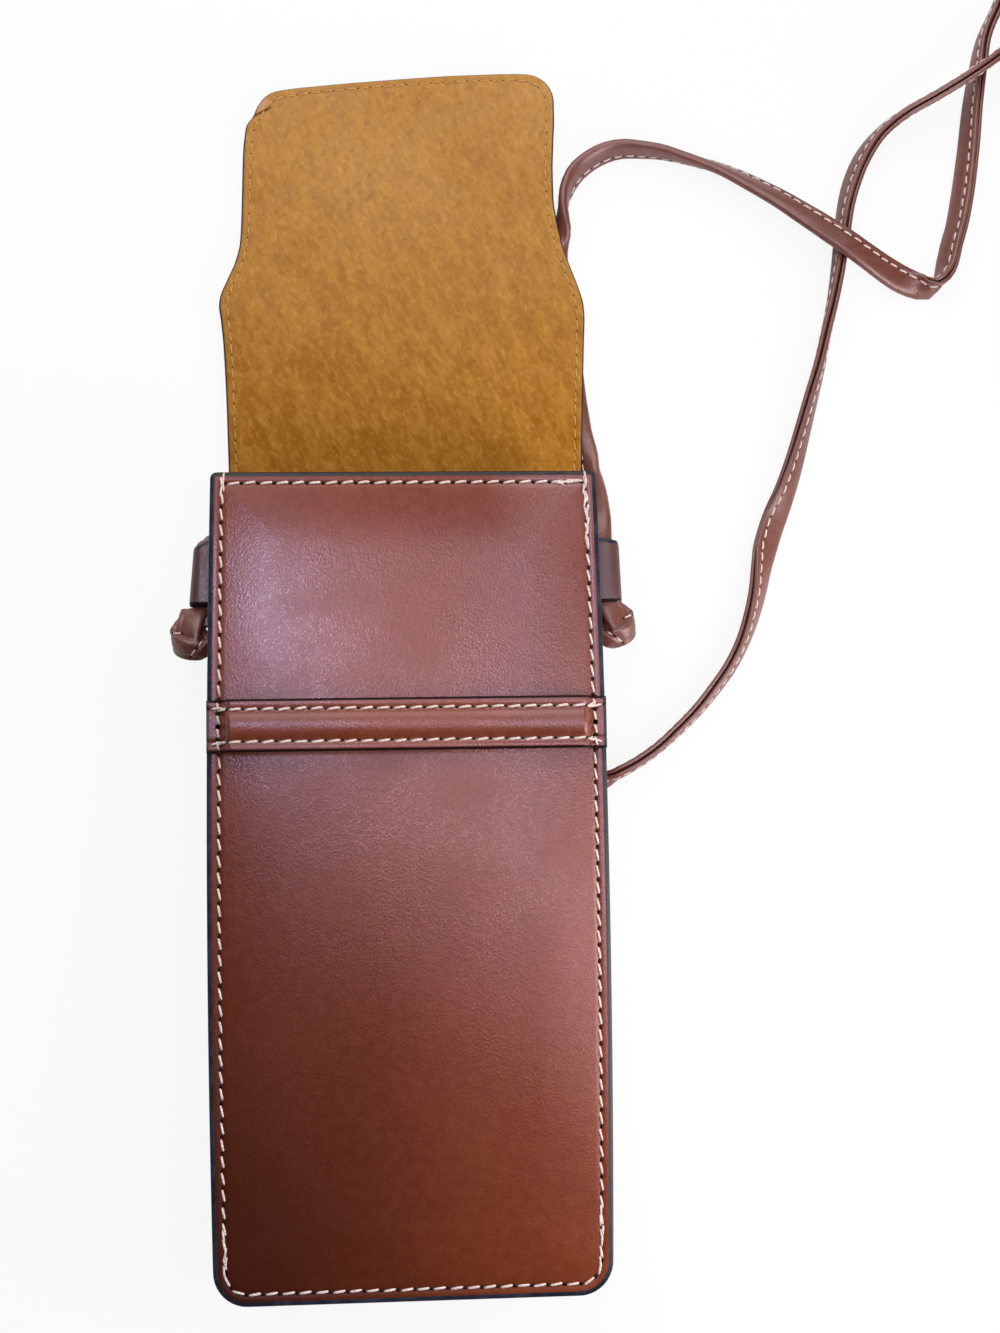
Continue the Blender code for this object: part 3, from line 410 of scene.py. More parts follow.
class Shape:
    """Points and faces in millimetres that become one piece; each face has the number of its material."""

    def __init__(self):
        self.points = []
        self.faces = []
        self.paints = []
        self.ends = []

    def add(self, points):
        start = len(self.points)
        self.points.extend(np.asarray(points, float).tolist())
        return list(range(start, len(self.points)))

    def strip(self, low, high, paints, closed=True):
        """Faces between two rows of points; paints gives the material of each."""
        for i in range(len(low) if closed else len(low) - 1):
            j = (i + 1) % len(low)
            self.faces.append((low[i], low[j], high[j], high[i]))
            self.paints.append(paints[i])

    def loft(self, rings, paints, closed=True):
        """Rings joined one after another; paints gives each strip's material."""
        rows = [self.add(ring) for ring in rings]
        for low, high, paint in zip(rows, rows[1:], paints):
            self.strip(low, high, [paint] * len(low), closed)
        return rows

    def sweep(self, rings, paints, caps=0):
        """Rings joined one after another and closed at both ends; paints is for the sides of the section."""
        rows = [self.add(ring) for ring in rings]
        for low, high in zip(rows, rows[1:]):
            self.strip(low, high, paints)
        self.ends += [len(self.faces), len(self.faces) + 1]
        self.faces += [tuple(reversed(rows[0])), tuple(rows[-1])]
        self.paints += [caps, caps]

    def fill(self, bottom, right, top, left, height, paint):
        """A grid between four rows that meet at their ends; bottom and top run to the right, the sides up."""
        edges = [np.array([self.points[i] for i in row]) for row in (bottom, right, top, left)]
        south, east, north, west = edges
        u = np.linspace(0, 1, len(bottom))[:, None, None]
        v = np.linspace(0, 1, len(left))[None, :, None]
        grid = (1 - v) * south[:, None] + v * north[:, None] + (1 - u) * west[None] + u * east[None]
        grid = grid - ((1 - u) * (1 - v) * south[0] + u * (1 - v) * south[-1])
        grid = grid - (1 - u) * v * north[0] - u * v * north[-1]
        inner = grid[1:-1, 1:-1].copy()
        inner[..., 2] = height(inner[..., 0], inner[..., 1])
        names = np.zeros(grid.shape[:2], int)
        names[:, 0] = bottom
        names[:, -1] = top
        names[0, :] = left
        names[-1, :] = right
        names[1:-1, 1:-1] = np.array(self.add(inner.reshape(-1, 3))).reshape(inner.shape[:2])
        for low, high in zip(names, names[1:]):
            self.faces += zip(low[:-1], high[:-1], high[1:], low[1:])
            self.paints += [paint] * (len(low) - 1)

    def fill_ring(self, ring, across, height, paint):
        """A grid inside a closed ring that starts at its lower left corner, with across steps at its foot."""
        along = len(ring) // 2 - across
        right = ring[across : across + along + 1]
        top = ring[across + along : 2 * across + along + 1][::-1]
        left = [*ring[2 * across + along :], ring[0]][::-1]
        self.fill(ring[: across + 1], right, top, left, height, paint)

    def piece(self, name, materials, body, slot, nodes=(), close=False):
        """One object that rides on body and stands for the CAD nodes; close caps its open ends."""
        mesh = bpy.data.meshes.new(name)
        mesh.from_pydata((np.array(self.points) * MM).tolist(), [], self.faces)
        mesh.polygons.foreach_set("material_index", self.paints)
        for material in materials:
            mesh.materials.append(material)
        work = bmesh.new()
        work.from_mesh(mesh)
        work.faces.ensure_lookup_table()
        ends = [work.faces[i] for i in self.ends]
        if close:
            open_edges = [edge for edge in work.edges if edge.is_boundary]
            ends += bmesh.ops.holes_fill(work, edges=open_edges, sides=0)["faces"]
        for face in ends:
            for edge in face.edges:
                edge.smooth = False
        bmesh.ops.recalc_face_normals(work, faces=work.faces)
        work.to_mesh(mesh)
        work.free()
        mesh.polygons.foreach_set("use_smooth", [True] * len(mesh.polygons))
        mesh.update()
        obj = placed(name, mesh)
        if nodes:
            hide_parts(*nodes)
        if body:
            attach(obj, body)
        return obj


def panel_half_width(y):
    bow = 1 - (y / MOUTH_Y) ** 2
    return (PANEL_END_WIDTH + (PANEL_MID_WIDTH - PANEL_END_WIDTH) * bow) / 2


def even(half):
    """The same half width at every height."""
    return lambda y: half + 0.0 * y


CORNER_STEPS = 5


def foot_row(x, y, radius, across):
    """Half a corner, a straight row and half a corner, from left to right."""
    left = corner(-x, y, radius, -135, -90, CORNER_STEPS)
    right = corner(x, y, radius, -90, -45, CORNER_STEPS)
    return np.concatenate([left[:-1], line((-x, y - radius), (x, y - radius), across), right[1:]])


def rounded_ring(inset, half_width, foot, top, foot_radius, top_radius, across, along):
    """A rounded outline moved in by inset, from the middle of its lower left corner and round."""
    low = max(foot_radius - inset, 0.7)
    high = max(top_radius - inset, 0.35)
    low_y = foot + inset + low
    high_y = top - inset - high
    low_x = half_width(low_y) - inset - low
    high_x = half_width(high_y) - inset - high
    heights = np.linspace(low_y, high_y, along + 1)
    widths = half_width(heights) - inset
    widths[0] = low_x + low
    widths[-1] = high_x + high
    right = np.concatenate([corner(low_x, low_y, low, -45, 0, CORNER_STEPS)[:-1],
                            np.stack([widths, heights], axis=1),
                            corner(high_x, high_y, high, 0, 45, CORNER_STEPS)[1:]])
    left = right[::-1] * (-1, 1)
    rows = [foot_row(low_x, low_y, low, across), right, -foot_row(high_x, -high_y, high, across), left]
    return np.concatenate([row[:-1] for row in rows])


def ripple(x, y):
    """Slow rises and dips of soft leather, in millimetres."""
    waves = 0.5 * np.sin(x / 11.3 + 0.7) * np.sin(y / 17.1 + 0.4) + 0.3 * np.sin(x / 6.1 - y / 9.7 + 2.1)
    return waves + 0.2 * np.sin(y / 6.7 + x / 23.0)


def lining_drop(x, y):
    """At the mouth the back lining goes down to the suede of the spine."""
    return SUEDE_LEVEL * ease(86.6, 90.4, y)


# The body's panels. Profile rows: inset from the outline, height, material, share of the wave

PANEL_ACROSS = 32
PANEL_ALONG = 74
INNER_ACROSS = 20
INNER_ALONG = 40
INNER_RADII = (1.4, 0.8)
FRONT_PROFILE = [
    (3.4, 19.62, 2, 0), (0.32, 19.62, 2, 0), (0.07, 19.8, 1, 0), (0.0, 20.08, 1, 0), (0.05, 20.36, 1, 0),
    (0.2, 20.58, 1, 0), (0.5, 20.72, 1, 0), (1.08, 20.78, 1, 0), (1.3, 20.81, 0, 0), (1.7, 20.8, 0, 0),
    (2.1, 20.76, 0, 0), (2.4, 20.62, 0, 0), (2.7, 20.54, 0, 0), (3.0, 20.65, 0, 0.02), (3.3, 20.79, 0, 0.03),
    (4.0, 20.87, 0, 0.04), (5.2, 20.98, 0, 0.06), (7.0, 21.12, 0, 0.1), (9.5, 21.28, 0, 0.13),
    (12.5, 21.42, 0, 0.15), (16.0, 21.5, 0, 0.15),
]
# The back panel's heights are over its outer face
BACK_PROFILE = [
    (5.0, 1.18, 2), (0.3, 1.18, 2), (0.05, 1.02, 1), (0.0, 0.73, 1), (0.05, 0.42, 1), (0.22, 0.2, 1),
    (0.5, 0.06, 1), (0.8, 0, 1), (1.1, 0, 0), (1.8, 0, 0), (2.35, 0.1, 0), (2.7, 0.28, 0), (3.05, 0.1, 0),
    (3.6, 0, 0), (8.0, 0, 0), (14.0, 0, 0),
]
BACK_LINING_PROFILE = [(2.0, -0.55, 0, 1), (0.15, -0.55, 0, 1), (0.0, -0.28, 0, 1), (0.15, 0, 0, 1),
                       (2.0, 0, 0, 1)]


def ringed_sheet(name, ring_at, profile, across, materials, slot, node, wave=ripple):
    """A closed sheet of rings from the middle of its underside, round its edge, to the middle of its top."""
    shape = Shape()
    rings = []
    for inset, z, _, share in profile:
        flat = ring_at(inset)
        rings.append(at_height(flat, z + share * wave(flat[:, 0], flat[:, 1])))
    rows = shape.loft(rings, [row[2] for row in profile[1:]])
    for row, (_, z, paint, share) in ((rows[-1], profile[-1]), (rows[0], profile[0])):
        shape.fill_ring(row, across + 2 * CORNER_STEPS, lambda x, y: z + share * wave(x, y), paint)
    shape.piece(name, materials, "root", slot, [node])


def panel_ring(inset):
    return rounded_ring(inset, panel_half_width, FOOT_Y, MOUTH_Y, FOOT_RADIUS, MOUTH_RADIUS, PANEL_ACROSS,
                        PANEL_ALONG)


def inner_ring(half, foot, top):
    return lambda inset: rounded_ring(inset, even(half), foot, top, *INNER_RADII, INNER_ACROSS, INNER_ALONG)


def flat_profile(low, high):
    rows = ((2.0, low), (0.15, low), (0.0, (low + high) / 2), (0.15, high), (2.0, high))
    return [(inset, z, 0, 0) for inset, z in rows]


def make_panels():
    back = [(inset, BACK + z, paint, 0) for inset, z, paint in BACK_PROFILE]
    inside = inner_ring(36.1, -83.85, 90.4)
    for name, ring, profile, node in (("front_panel_leather", panel_ring, FRONT_PROFILE, "front_panel"),
                                      ("back_panel_leather", panel_ring, back, "back_panel")):
        ringed_sheet(name, ring, profile, PANEL_ACROSS, SKINS, "case_leather", node)
    ringed_sheet("front_lining_suede", inside, flat_profile(17.6, 18.2), INNER_ACROSS, [SUEDE],
                 "suede_lining", "front_lining")
    ringed_sheet("back_lining_suede", inside, BACK_LINING_PROFILE, INNER_ACROSS, [SUEDE], "suede_lining",
                 "back_lining", lining_drop)
    for name, top, low, high, node in (("back_board", 85.6, -1.7, -0.9, "back_stiffener"),
                                       ("front_board", 89.6, 18.5, 19.3, "front_stiffener")):
        ringed_sheet(name, inner_ring(37.0, -84.75, top), flat_profile(low, high), INNER_ACROSS, [BOARD],
                     "stiffener_board", node)


# The gusset: wall, folds and flanges as one sheet round the foot. Section rows: share of the way from the
# wall to the panel's edge, distance inward, height

GUSSET_SECTION = [
    (1.0, 0, -1.98), (1.02, 0, -1.4), (1.0, 0, -0.85), (0.6, 0, -0.8), (0.3, 0, -0.8), (0.12, 0, -0.7),
    (0.03, 0, -0.35), (0, 0, 0.4), (0, -0.1, 4.0), (0, -0.2, 8.8), (0, -0.1, 13.6), (0, 0, 17.2),
    (0.03, 0, 17.95), (0.12, 0, 18.3), (0.3, 0, 18.4), (0.6, 0, 18.4), (1.0, 0, 18.45), (1.02, 0, 19.0),
    (1.0, 0, 19.56), (0.5, 0, 19.6), (0, 0, 19.6), (0, 0.5, 19.54), (0, 1.0, 19.2), (0, 1.2, 18.6),
    (0, 1.15, 8.8), (0, 1.2, -1.0), (0, 1.0, -1.6), (0, 0.5, -1.94), (0, 0, -1.99), (0.5, 0, -1.99),
]
GUSSET_PAINTS = [1] * 2 + [0] * 14 + [1] * 2 + [2] * 12
GUSSET_SUEDE_SECTION = [(0, -0.5), (0, 18.1), (-0.15, 18.2), (-0.45, 18.2), (-0.6, 18.1), (-0.6, -0.5),
                        (-0.45, -0.6), (-0.15, -0.6)]


def u_route(half_at, foot, radius, top):
    """From the left mouth down, round the foot and up to the right mouth."""
    low_y = foot + radius
    low_x = float(half_at(np.array(low_y))) - radius
    heights = np.linspace(low_y, top, 45)
    right = np.concatenate([corner(low_x, low_y, radius, -90, 0, 10)[:-1],
                            np.stack([half_at(heights), heights], axis=1)])
    left = right[::-1] * (-1, 1)
    return np.concatenate([left[:-1], line((-low_x, foot), (low_x, foot), 26), right[1:]])


def make_gusset():
    wall = u_route(even(38.5), -86.25, 2.6, 90.7)
    edge = u_route(lambda y: panel_half_width(y) - 0.3, FOOT_Y + 0.3, 7.2, 90.7)
    outward = unit(edge - wall)
    shape = Shape()
    shape.sweep([[(*(a + (b - a) * share - out * inward), z) for share, inward, z in GUSSET_SECTION]
                 for a, b, out in zip(wall, edge, outward)], GUSSET_PAINTS, caps=1)
    shape.piece("gusset_leather", SKINS, "root", "case_leather", ["gusset"])
    inner = u_route(even(37.0), -84.75, 1.1, 90.6)
    outward = unit(u_route(even(37.6), -85.35, 1.7, 90.6) - inner)
    shape = Shape()
    shape.sweep([[(*(point + out * a), z) for a, z in GUSSET_SUEDE_SECTION]
                 for point, out in zip(inner, outward)], [0] * len(GUSSET_SUEDE_SECTION))
    shape.piece("gusset_suede", [SUEDE], "root", "suede_lining", ["gusset_lining"])


# The keeper band. Each half section runs from the crest to the underside: across, height over the underside

BAND_FLAT = 2.03
BAND_CHANNEL = 1.67
BAND_END_X = 43.4
BAND_FACE = [(0, 2.1), (0.9, 2.05), (1.7, 1.9), (2.3, 1.66), (2.75, 1.36), (3.05, 1.06), (3.5, 0.84),
             (3.95, 1.08), (4.3, 1.2), (4.95, 1.2), (5.25, 1.17), (5.55, 1.04), (5.78, 0.8), (5.8, 0.4),
             (5.65, 0.08), (5.3, 0.0)]
BAND_BACKING = [(0, 0.8), (4.0, 0.8), (5.3, 0.8), (5.6, 0.7), (5.72, 0.4), (5.6, 0.1), (5.3, 0.0)]
BAND_BACKING_TOP = 0.83


def band_base(x):
    """The underside of the band: raised over the tongue's room, and down to the panel at both ends."""
    return BAND_UNDERSIDE - (BAND_UNDERSIDE - 20.95) * ease(38.8, 41.4, np.abs(x))


def band_layer(half, paints):
    """A half section mirrored and carried along the band; its crown ends before the seams."""
    section = half + [(-a, h) for a, h in reversed(half[1:])]
    end = panel_half_width(BAND_Y) - 0.1
    inner = np.concatenate([np.linspace(0, 36.8, 24), np.linspace(37.3, 42.0, 15), [42.6, 43.2, 43.5, end]])
    rings = []
    for x in np.concatenate([-inner[:0:-1], inner]):
        full = ease(41.2, 39.2, abs(x))
        heights = [h if h < BAND_FLAT else BAND_FLAT + (h - BAND_FLAT) * full for _, h in section]
        rings.append([(x, BAND_Y + a, band_base(x) + h) for (a, _), h in zip(section, heights)])
    shape = Shape()
    shape.sweep(rings, paints, caps=1)
    return shape


def make_band():
    # The band's outer edges are near-black: painted shade of the gap under the band, over its edge paint
    edges = [0] * 10 + [3] * 5
    face = band_layer([(a, h + BAND_BACKING_TOP) for a, h in BAND_FACE], edges + [2] + edges[::-1])
    for k, corners in enumerate(face.faces):
        if min(abs(face.points[i][0]) for i in corners) > BAND_END_X:
            face.paints[k] = 1
    face.piece("keeper_band_leather", [*SKINS, PAINTED_SHADE], "root", "case_leather", ["keeper_band_face"])
    # The backing is near-black all over: painted shade under the band
    backing = band_layer(BAND_BACKING, [0] * 13)
    backing.piece("keeper_band_back_leather", [PAINTED_SHADE, EDGE], "root", "case_leather", ["keeper_band_backing"])


# The flap and its spine, whose outline follows the sewn and slightly uneven real one. Edge rows: y, x

LEFT_EDGE = np.array([
    (90.0, -40.5), (97.8, -40.7), (112.1, -41.1), (126.4, -41.8), (131.5, -42.3), (135.2, -42.75),
    (137.0, -42.5), (140.9, -40.95), (145.7, -38.85), (150.5, -37.7), (157.8, -37.3), (165.1, -37.1),
    (173.2, -36.8), (178.3, -36.2),
])
RIGHT_EDGE = np.array([
    (90.0, 42.7), (97.5, 42.8), (112.0, 43.3), (126.5, 43.9), (132.5, 44.15), (135.6, 43.95), (138.0, 43.35),
    (141.1, 42.3), (146.0, 40.5), (149.6, 39.3), (153.3, 38.5), (157.0, 37.8), (161.5, 37.25), (168.0, 37.2),
    (175.5, 37.5), (181.0, 37.8), (185.3, 37.8),
])
LEFT_CORNER = [(-35.9, 179.1), (-35.3, 180.0), (-34.6, 180.7), (-34.2, 181.4), (-33.9, 182.2)]
TIP_EDGE = [
    (-33.9, 182.2), (-33.5, 183.2), (-32.9, 184.2), (-32.1, 185.3), (-31.2, 186.2), (-30.2, 186.9),
    (-29.0, 187.35), (-27.0, 187.75), (-23.2, 188.3), (-11.0, 189.6), (0.7, 190.65), (12.5, 191.6),
    (24.7, 192.15), (28.5, 192.25),
]
RIGHT_CORNER = (30.9, 185.3, 6.9)
FLAP_SIDE = 84
FLAP_TIP = 60


def edge_line(rows, heights):
    return np.stack([smooth(rows[:, 0], rows[:, 1], heights), heights], axis=1)


def flap_outline():
    """From the split up the left side, over the tip and down the right side, in flap steps."""
    left = np.concatenate([edge_line(LEFT_EDGE, np.linspace(SPLIT_Y, LEFT_EDGE[-1, 0], 120)), LEFT_CORNER])
    tip = np.concatenate([TIP_EDGE, corner(*RIGHT_CORNER, 90, 45, 8)])
    right = edge_line(RIGHT_EDGE, np.linspace(RIGHT_EDGE[-1, 0], SPLIT_Y, 120))
    right = np.concatenate([corner(*RIGHT_CORNER, 45, 0, 8)[:-1], right])
    return np.concatenate([resample(left, FLAP_SIDE), resample(tip, FLAP_TIP)[1:],
                           resample(right, FLAP_SIDE)[1:]])


def softened(rows, reach=5):
    """Each row as the mean of itself and its neighbours; the ends stay."""
    padded = np.pad(rows, ((reach, reach), (0, 0)), mode="reflect", reflect_type="odd")
    window = np.full(2 * reach + 1, 1 / (2 * reach + 1))
    return np.stack([np.convolve(values, window, mode="valid") for values in padded.T], axis=1)


FLAP_LINE = flap_outline()
FLAP_SOFT = softened(softened(FLAP_LINE))


def flap_ring(inset):
    """The outline moved in by inset; its two ends only move sideways."""
    along = unit(softened(directions(FLAP_LINE)))
    inward = np.stack([along[:, 1], -along[:, 0]], axis=1)
    inward[0] = (1, 0)
    inward[-1] = (-1, 0)
    return FLAP_LINE + (FLAP_SOFT - FLAP_LINE) * ease(0.9, 3.4, inset) + inward * inset


def tip_curl(x, y):
    """The left corner of the tip curls up above a short crease."""
    above = ease(0.0, 0.3, past(x, y, CREASE_AT, CREASE_UP))
    near = ease(2.6, 0.4, past(x, y, CURL_AT, CURL_INWARD))
    return 0.28 * above * near * ease(7.0, 4.0, past(x, y, CURL_AT, CURL_ALONG))


def bend_with(obj):
    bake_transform(obj)


def flap_sheet(name, profile, materials, slot, node):
    """Profile rows: inset, height, material."""
    shape = Shape()
    rings = []
    for inset, z, _ in profile:
        flat = flap_ring(inset)
        rings.append(at_height(flat, z + tip_curl(flat[:, 0], flat[:, 1])))
    rows = shape.loft(rings, [row[2] for row in profile[1:]], closed=False)
    for row, (_, z, paint) in ((rows[-1], profile[-1]), (rows[0], profile[0])):
        inner = shape.add(line(shape.points[row[0]], shape.points[row[-1]], FLAP_TIP)[1:-1])
        top = row[FLAP_SIDE : FLAP_SIDE + FLAP_TIP + 1]
        right = row[FLAP_SIDE + FLAP_TIP :][::-1]
        shape.fill([row[0], *inner, row[-1]], right, top, row[: FLAP_SIDE + 1],
                   lambda x, y: z + tip_curl(x, y), paint)
    bend_with(shape.piece(name, materials, None, slot, [node], close=True))


def spine_sheet(name, profile, materials, slot, node):
    """The same layers between the mouth and the split."""
    low, high = profile[0], profile[-1]
    sides = [row[2] for row in profile[1:]]
    rings = []
    for y in np.concatenate([np.linspace(91.02, 94.0, 9), np.linspace(95.0, SPLIT_Y, 6)]):
        left, right = (float(edge_line(rows, np.array([y]))[0, 0]) for rows in (LEFT_EDGE, RIGHT_EDGE))
        ring = [(left + inset, y, z) for inset, z, _ in profile]
        ring += [(x, y, high[1]) for x in line(left + high[0], right - high[0], FLAP_TIP)[1:-1]]
        ring += [(right - inset, y, z) for inset, z, _ in reversed(profile)]
        ring += [(x, y, low[1]) for x in line(right - low[0], left + low[0], FLAP_TIP)[1:-1]]
        rings.append(ring)
    shape = Shape()
    shape.sweep(rings, sides + [high[2]] * FLAP_TIP + sides[::-1] + [low[2]] * FLAP_TIP, caps=high[2])
    bend_with(shape.piece(name, materials, None, slot, [node]))


# The flap's layers, with their stitch channels: inset, height over the flap's outer face, material
FLAP_LEATHER = [(3.4, 0, 0), (2.3, 0, 0), (2.1, 0.12, 0), (1.9, 0.2, 0), (1.7, 0.12, 0), (1.5, 0, 0),
                (0.8, 0, 0), (0.45, 0.06, 1), (0.15, 0.22, 1), (0.0, 0.6, 1), (0.05, 1.08, 1), (0.2, 1.2, 1),
                (0.9, 1.2, 1), (3.4, 1.2, 2)]
FLAP_SUEDE = [(3.6, 1.22, 0), (0.55, 1.22, 0), (0.4, 1.42, 0), (0.42, 1.8, 0), (0.55, 2.0, 0), (0.85, 2.1, 0),
              (1.45, 2.1, 0), (1.68, 2.02, 0), (1.9, 1.94, 0), (2.12, 2.02, 0), (2.4, 2.1, 0), (3.6, 2.12, 0)]


def make_flap():
    for name, rows, skins, slot, nodes in (
            ("leather", FLAP_LEATHER, SKINS, "case_leather", ("flap_spine", "flap_shell")),
            ("suede", FLAP_SUEDE, [SUEDE], "suede_lining", ("flap_spine_lining", "flap_lining"))):
        profile = [(inset, BACK + z, paint) for inset, z, paint in rows]
        spine_sheet("spine_" + name, profile, skins, slot, nodes[0])
        flap_sheet("flap_" + name, profile, skins, slot, nodes[1])


# Stitches


class Stitching(Shape):
    """Rows of slanted stitches with the needle's holes between them, as one piece."""

    def __init__(self, seed):
        super().__init__()
        self.random = np.random.default_rng(seed)

    def row(self, points, ups, pitch=3.55, length=2.75, radius=0.3, slant=11.0, lift=0.1, holes=0.66):
        """Stitches along points; ups are the directions out of the leather."""
        seam = self.seam(points, ups)
        count = max(int(round(seam[2][-1] / pitch)), 1)
        step = seam[2][-1] / count
        wander = self.random.normal(0, 1, (count, 3)) * (0.05, 0.04, 1.4)
        self.stitches(seam, (np.arange(count) + 0.5) * step + wander[:, 0], length * step / pitch, radius,
                      wander[:, 1], slant + wander[:, 2], lift)
        self.holes(seam, np.arange(count + 1) * step, holes)

    def backstitch(self, points, count, spread=0.35):
        """Overlapping stitches that lock the end of a row on the front."""
        seam = self.seam(points, UP)
        middle = np.linspace(1.2, seam[2][-1] - 1.2, count)
        offset = self.random.uniform(-spread, spread, count)
        self.stitches(seam, middle, 2.5, 0.27, offset, self.random.uniform(-16, 16, count), 0.22)

    def seam(self, points, ups):
        points = np.asarray(points, float)
        return points, np.broadcast_to(np.asarray(ups, float), points.shape), lengths_along(points)

    def frame_at(self, seam, targets):
        """The places at the targets, with directions along the seam, to its side and out of the leather."""
        points, ups, places = seam
        reach = 0.6
        along = unit(sampled(points, places, targets + reach) - sampled(points, places, targets - reach))
        side = unit(np.cross(unit(sampled(ups, places, targets)), along))
        return sampled(points, places, targets), along, side, unit(np.cross(along, side))

    def stitches(self, seam, middle, length, radius, offset, slant, lift):
        """Tapered tubes that rise in the middle and dip at both ends."""
        spot, along, side, up = (part[:, None] for part in self.frame_at(seam, middle))
        s = np.linspace(-1, 1, 7)
        angles = np.radians(np.arange(0, 360, 60.0) + 30)
        reach = length / 2 * s
        taper = radius * np.sqrt(np.clip(1 - np.abs(s) ** 5 * 0.8, 0, 1))
        rise = lift + radius * 0.55 * (1 - s**2) - 0.12 * np.abs(s) ** 3
        shift = offset[:, None] + reach[None] * np.tan(np.radians(slant))[:, None]
        centre = spot + along * reach[None, :, None] + side * shift[..., None] + up * rise[None, :, None]
        wide = (taper[:, None] * np.cos(angles)[None])[None, :, :, None]
        tall = (taper[:, None] * np.sin(angles)[None] * 0.85)[None, :, :, None]
        for stitch in centre[:, :, None] + side[:, :, None] * wide + up[:, :, None] * tall:
            rows = self.loft(stitch, [0] * 6)
            self.faces += [tuple(reversed(rows[0])), tuple(rows[-1])]
            self.paints += [0, 0]

    def holes(self, seam, targets, size):
        """Low dark dots where the needle went in: painted shade of the holes."""
        angles = np.radians(np.arange(0, 360, 45.0))
        for p, a, b, u in zip(*self.frame_at(seam, targets)):
            rings = [[p + a * (math.cos(t) * size * long) + b * (math.sin(t) * size * wide) + u * rise
                      for t in angles] for long, wide, rise in ((0.9, 1.15, -0.08), (0.7, 0.95, size * 0.25))]
            rows = self.loft(rings, [1])
            self.faces.append(tuple(rows[1]))
            self.paints.append(1)

    def sewn(self, name, body, nodes=(), thread=CREAM_THREAD):
        return self.piece(name, [thread, PAINTED_SHADE], body, "stitch_thread", nodes)


# The middle of the channels in which the front's and the back's stitches lie
FRONT_CHANNEL = 20.5
BACK_CHANNEL = BACK + 0.28
FLAP_PITCH = 2.9
FLAP_STITCH = 2.25
FOOT_SEAM_Y = FOOT_Y + FOOT_RADIUS
SEAM_TOP = 90.4
MOUTH_SEAM_Y = 88.5
# The front's side rows stop under the band and start again over it
BELOW_BAND = 27.9
OVER_BAND = 40.2


def side_line(side, low, high, height):
    heights = np.linspace(low, high, max(int(abs(high - low) / 1.5), 2))
    return np.stack([side * (panel_half_width(heights) - SEAM_INSET), heights, 0 * heights + height], axis=1)


def foot_line(height):
    """The seam round the foot between the two side rows."""
    radius = FOOT_RADIUS - SEAM_INSET
    x = float(panel_half_width(np.array(FOOT_SEAM_Y))) - FOOT_RADIUS
    right = corner(x, FOOT_SEAM_Y, radius, -90, 0, 16)
    left = right[::-1] * (-1, 1)
    straight = line((-x, FOOT_SEAM_Y - radius), (x, FOOT_SEAM_Y - radius), 40)
    return at_height(np.concatenate([left[:-1], straight, right[1:]]), height)


def make_seams():
    front = Stitching(11)
    for side in (-1, 1):
        front.row(side_line(side, FOOT_SEAM_Y, BELOW_BAND, FRONT_CHANNEL), UP)
        front.row(side_line(side, OVER_BAND, SEAM_TOP, FRONT_CHANNEL), UP)
    front.row(foot_line(FRONT_CHANNEL), UP, slant=8.0)
    for side, low, high, count in ((-1, 85.5, 90.9, 4), (1, 73.5, 90.9, 11), (-1, -84.5, -74.5, 5),
                                   (1, -85.0, -71.5, 6)):
        front.backstitch(side_line(side, low, high, FRONT_CHANNEL), count)
    front.sewn("front_seam_stitches", "root", ["front_seam_thread"])
    back = Stitching(12)
    sides = [side_line(side, FOOT_SEAM_Y, SEAM_TOP, BACK_CHANNEL) for side in (-1, 1)]
    for seam in (*sides, foot_line(BACK_CHANNEL)):
        back.row(seam, DOWN, lift=-0.08)
    back.sewn("back_seam_stitches", "root", ["back_seam_thread"])
    mouth = Stitching(13)
    mouth.row(at_height(line((-39.9, MOUTH_SEAM_Y), (39.9, MOUTH_SEAM_Y), 60), FRONT_CHANNEL), UP, slant=9.0)
    mouth.backstitch(at_height(line((33.5, MOUTH_SEAM_Y), (40.2, MOUTH_SEAM_Y), 8), FRONT_CHANNEL), 4)
    mouth.sewn("mouth_seam_stitches", "root", ["mouth_seam_thread"])


def band_line(x, across, height):
    """Points along the band at the given height over its underside."""
    return np.stack([x, BAND_Y + across, band_base(x) + height], axis=-1)


def make_band_seams():
    """Both rows along the band, the side rows of the case that cross it, and the locked ends."""
    places = np.linspace(-41.2, 41.2, 320)
    for name, across, low, high, seed in (("band_upper", 3.6, 0.1, 5.6, 21),
                                          ("band_lower", -3.6, -5.6, -0.1, 22)):
        row = Stitching(seed)
        row.row(band_line(places, across + 0 * places, BAND_CHANNEL), UP, 3.62, radius=0.31, slant=8.0,
                holes=0.5)
        for side in (-1, 1):
            crossing = side_line(side, BAND_Y + low, BAND_Y + high, 0)
            row.row(band_line(crossing[:, 0], crossing[:, 1] - BAND_Y, BAND_FLAT), UP)
            end = line((side * 39.9, across), (side * 43.0, across * 1.08), 8)
            row.backstitch(band_line(end[:, 0], end[:, 1], BAND_FLAT), 3, 0.3)
        row.sewn(name + "_stitches", "root", [name + "_thread"])


def flap_row(name, flat, on_suede, seed, nodes=(), rise=0.0, slant=11.0):
    """One row through the flap's layers, as it is seen on the suede or on the leather."""
    row = Stitching(seed)
    if on_suede:
        seam = at_height(flat, SUEDE_LEVEL - 0.15 + rise)
        row.row(seam, UP, FLAP_PITCH, FLAP_STITCH, 0.19, slant, 0.05, 0.2)
    else:
        seam = at_height(flat, BACK + 0.2 + rise)
        row.row(seam, DOWN, FLAP_PITCH, FLAP_STITCH, 0.22, slant, 0.0, 0.26)
    bend_with(row.sewn(name + "_stitches", None, nodes, TAN_THREAD if on_suede else CREAM_THREAD))


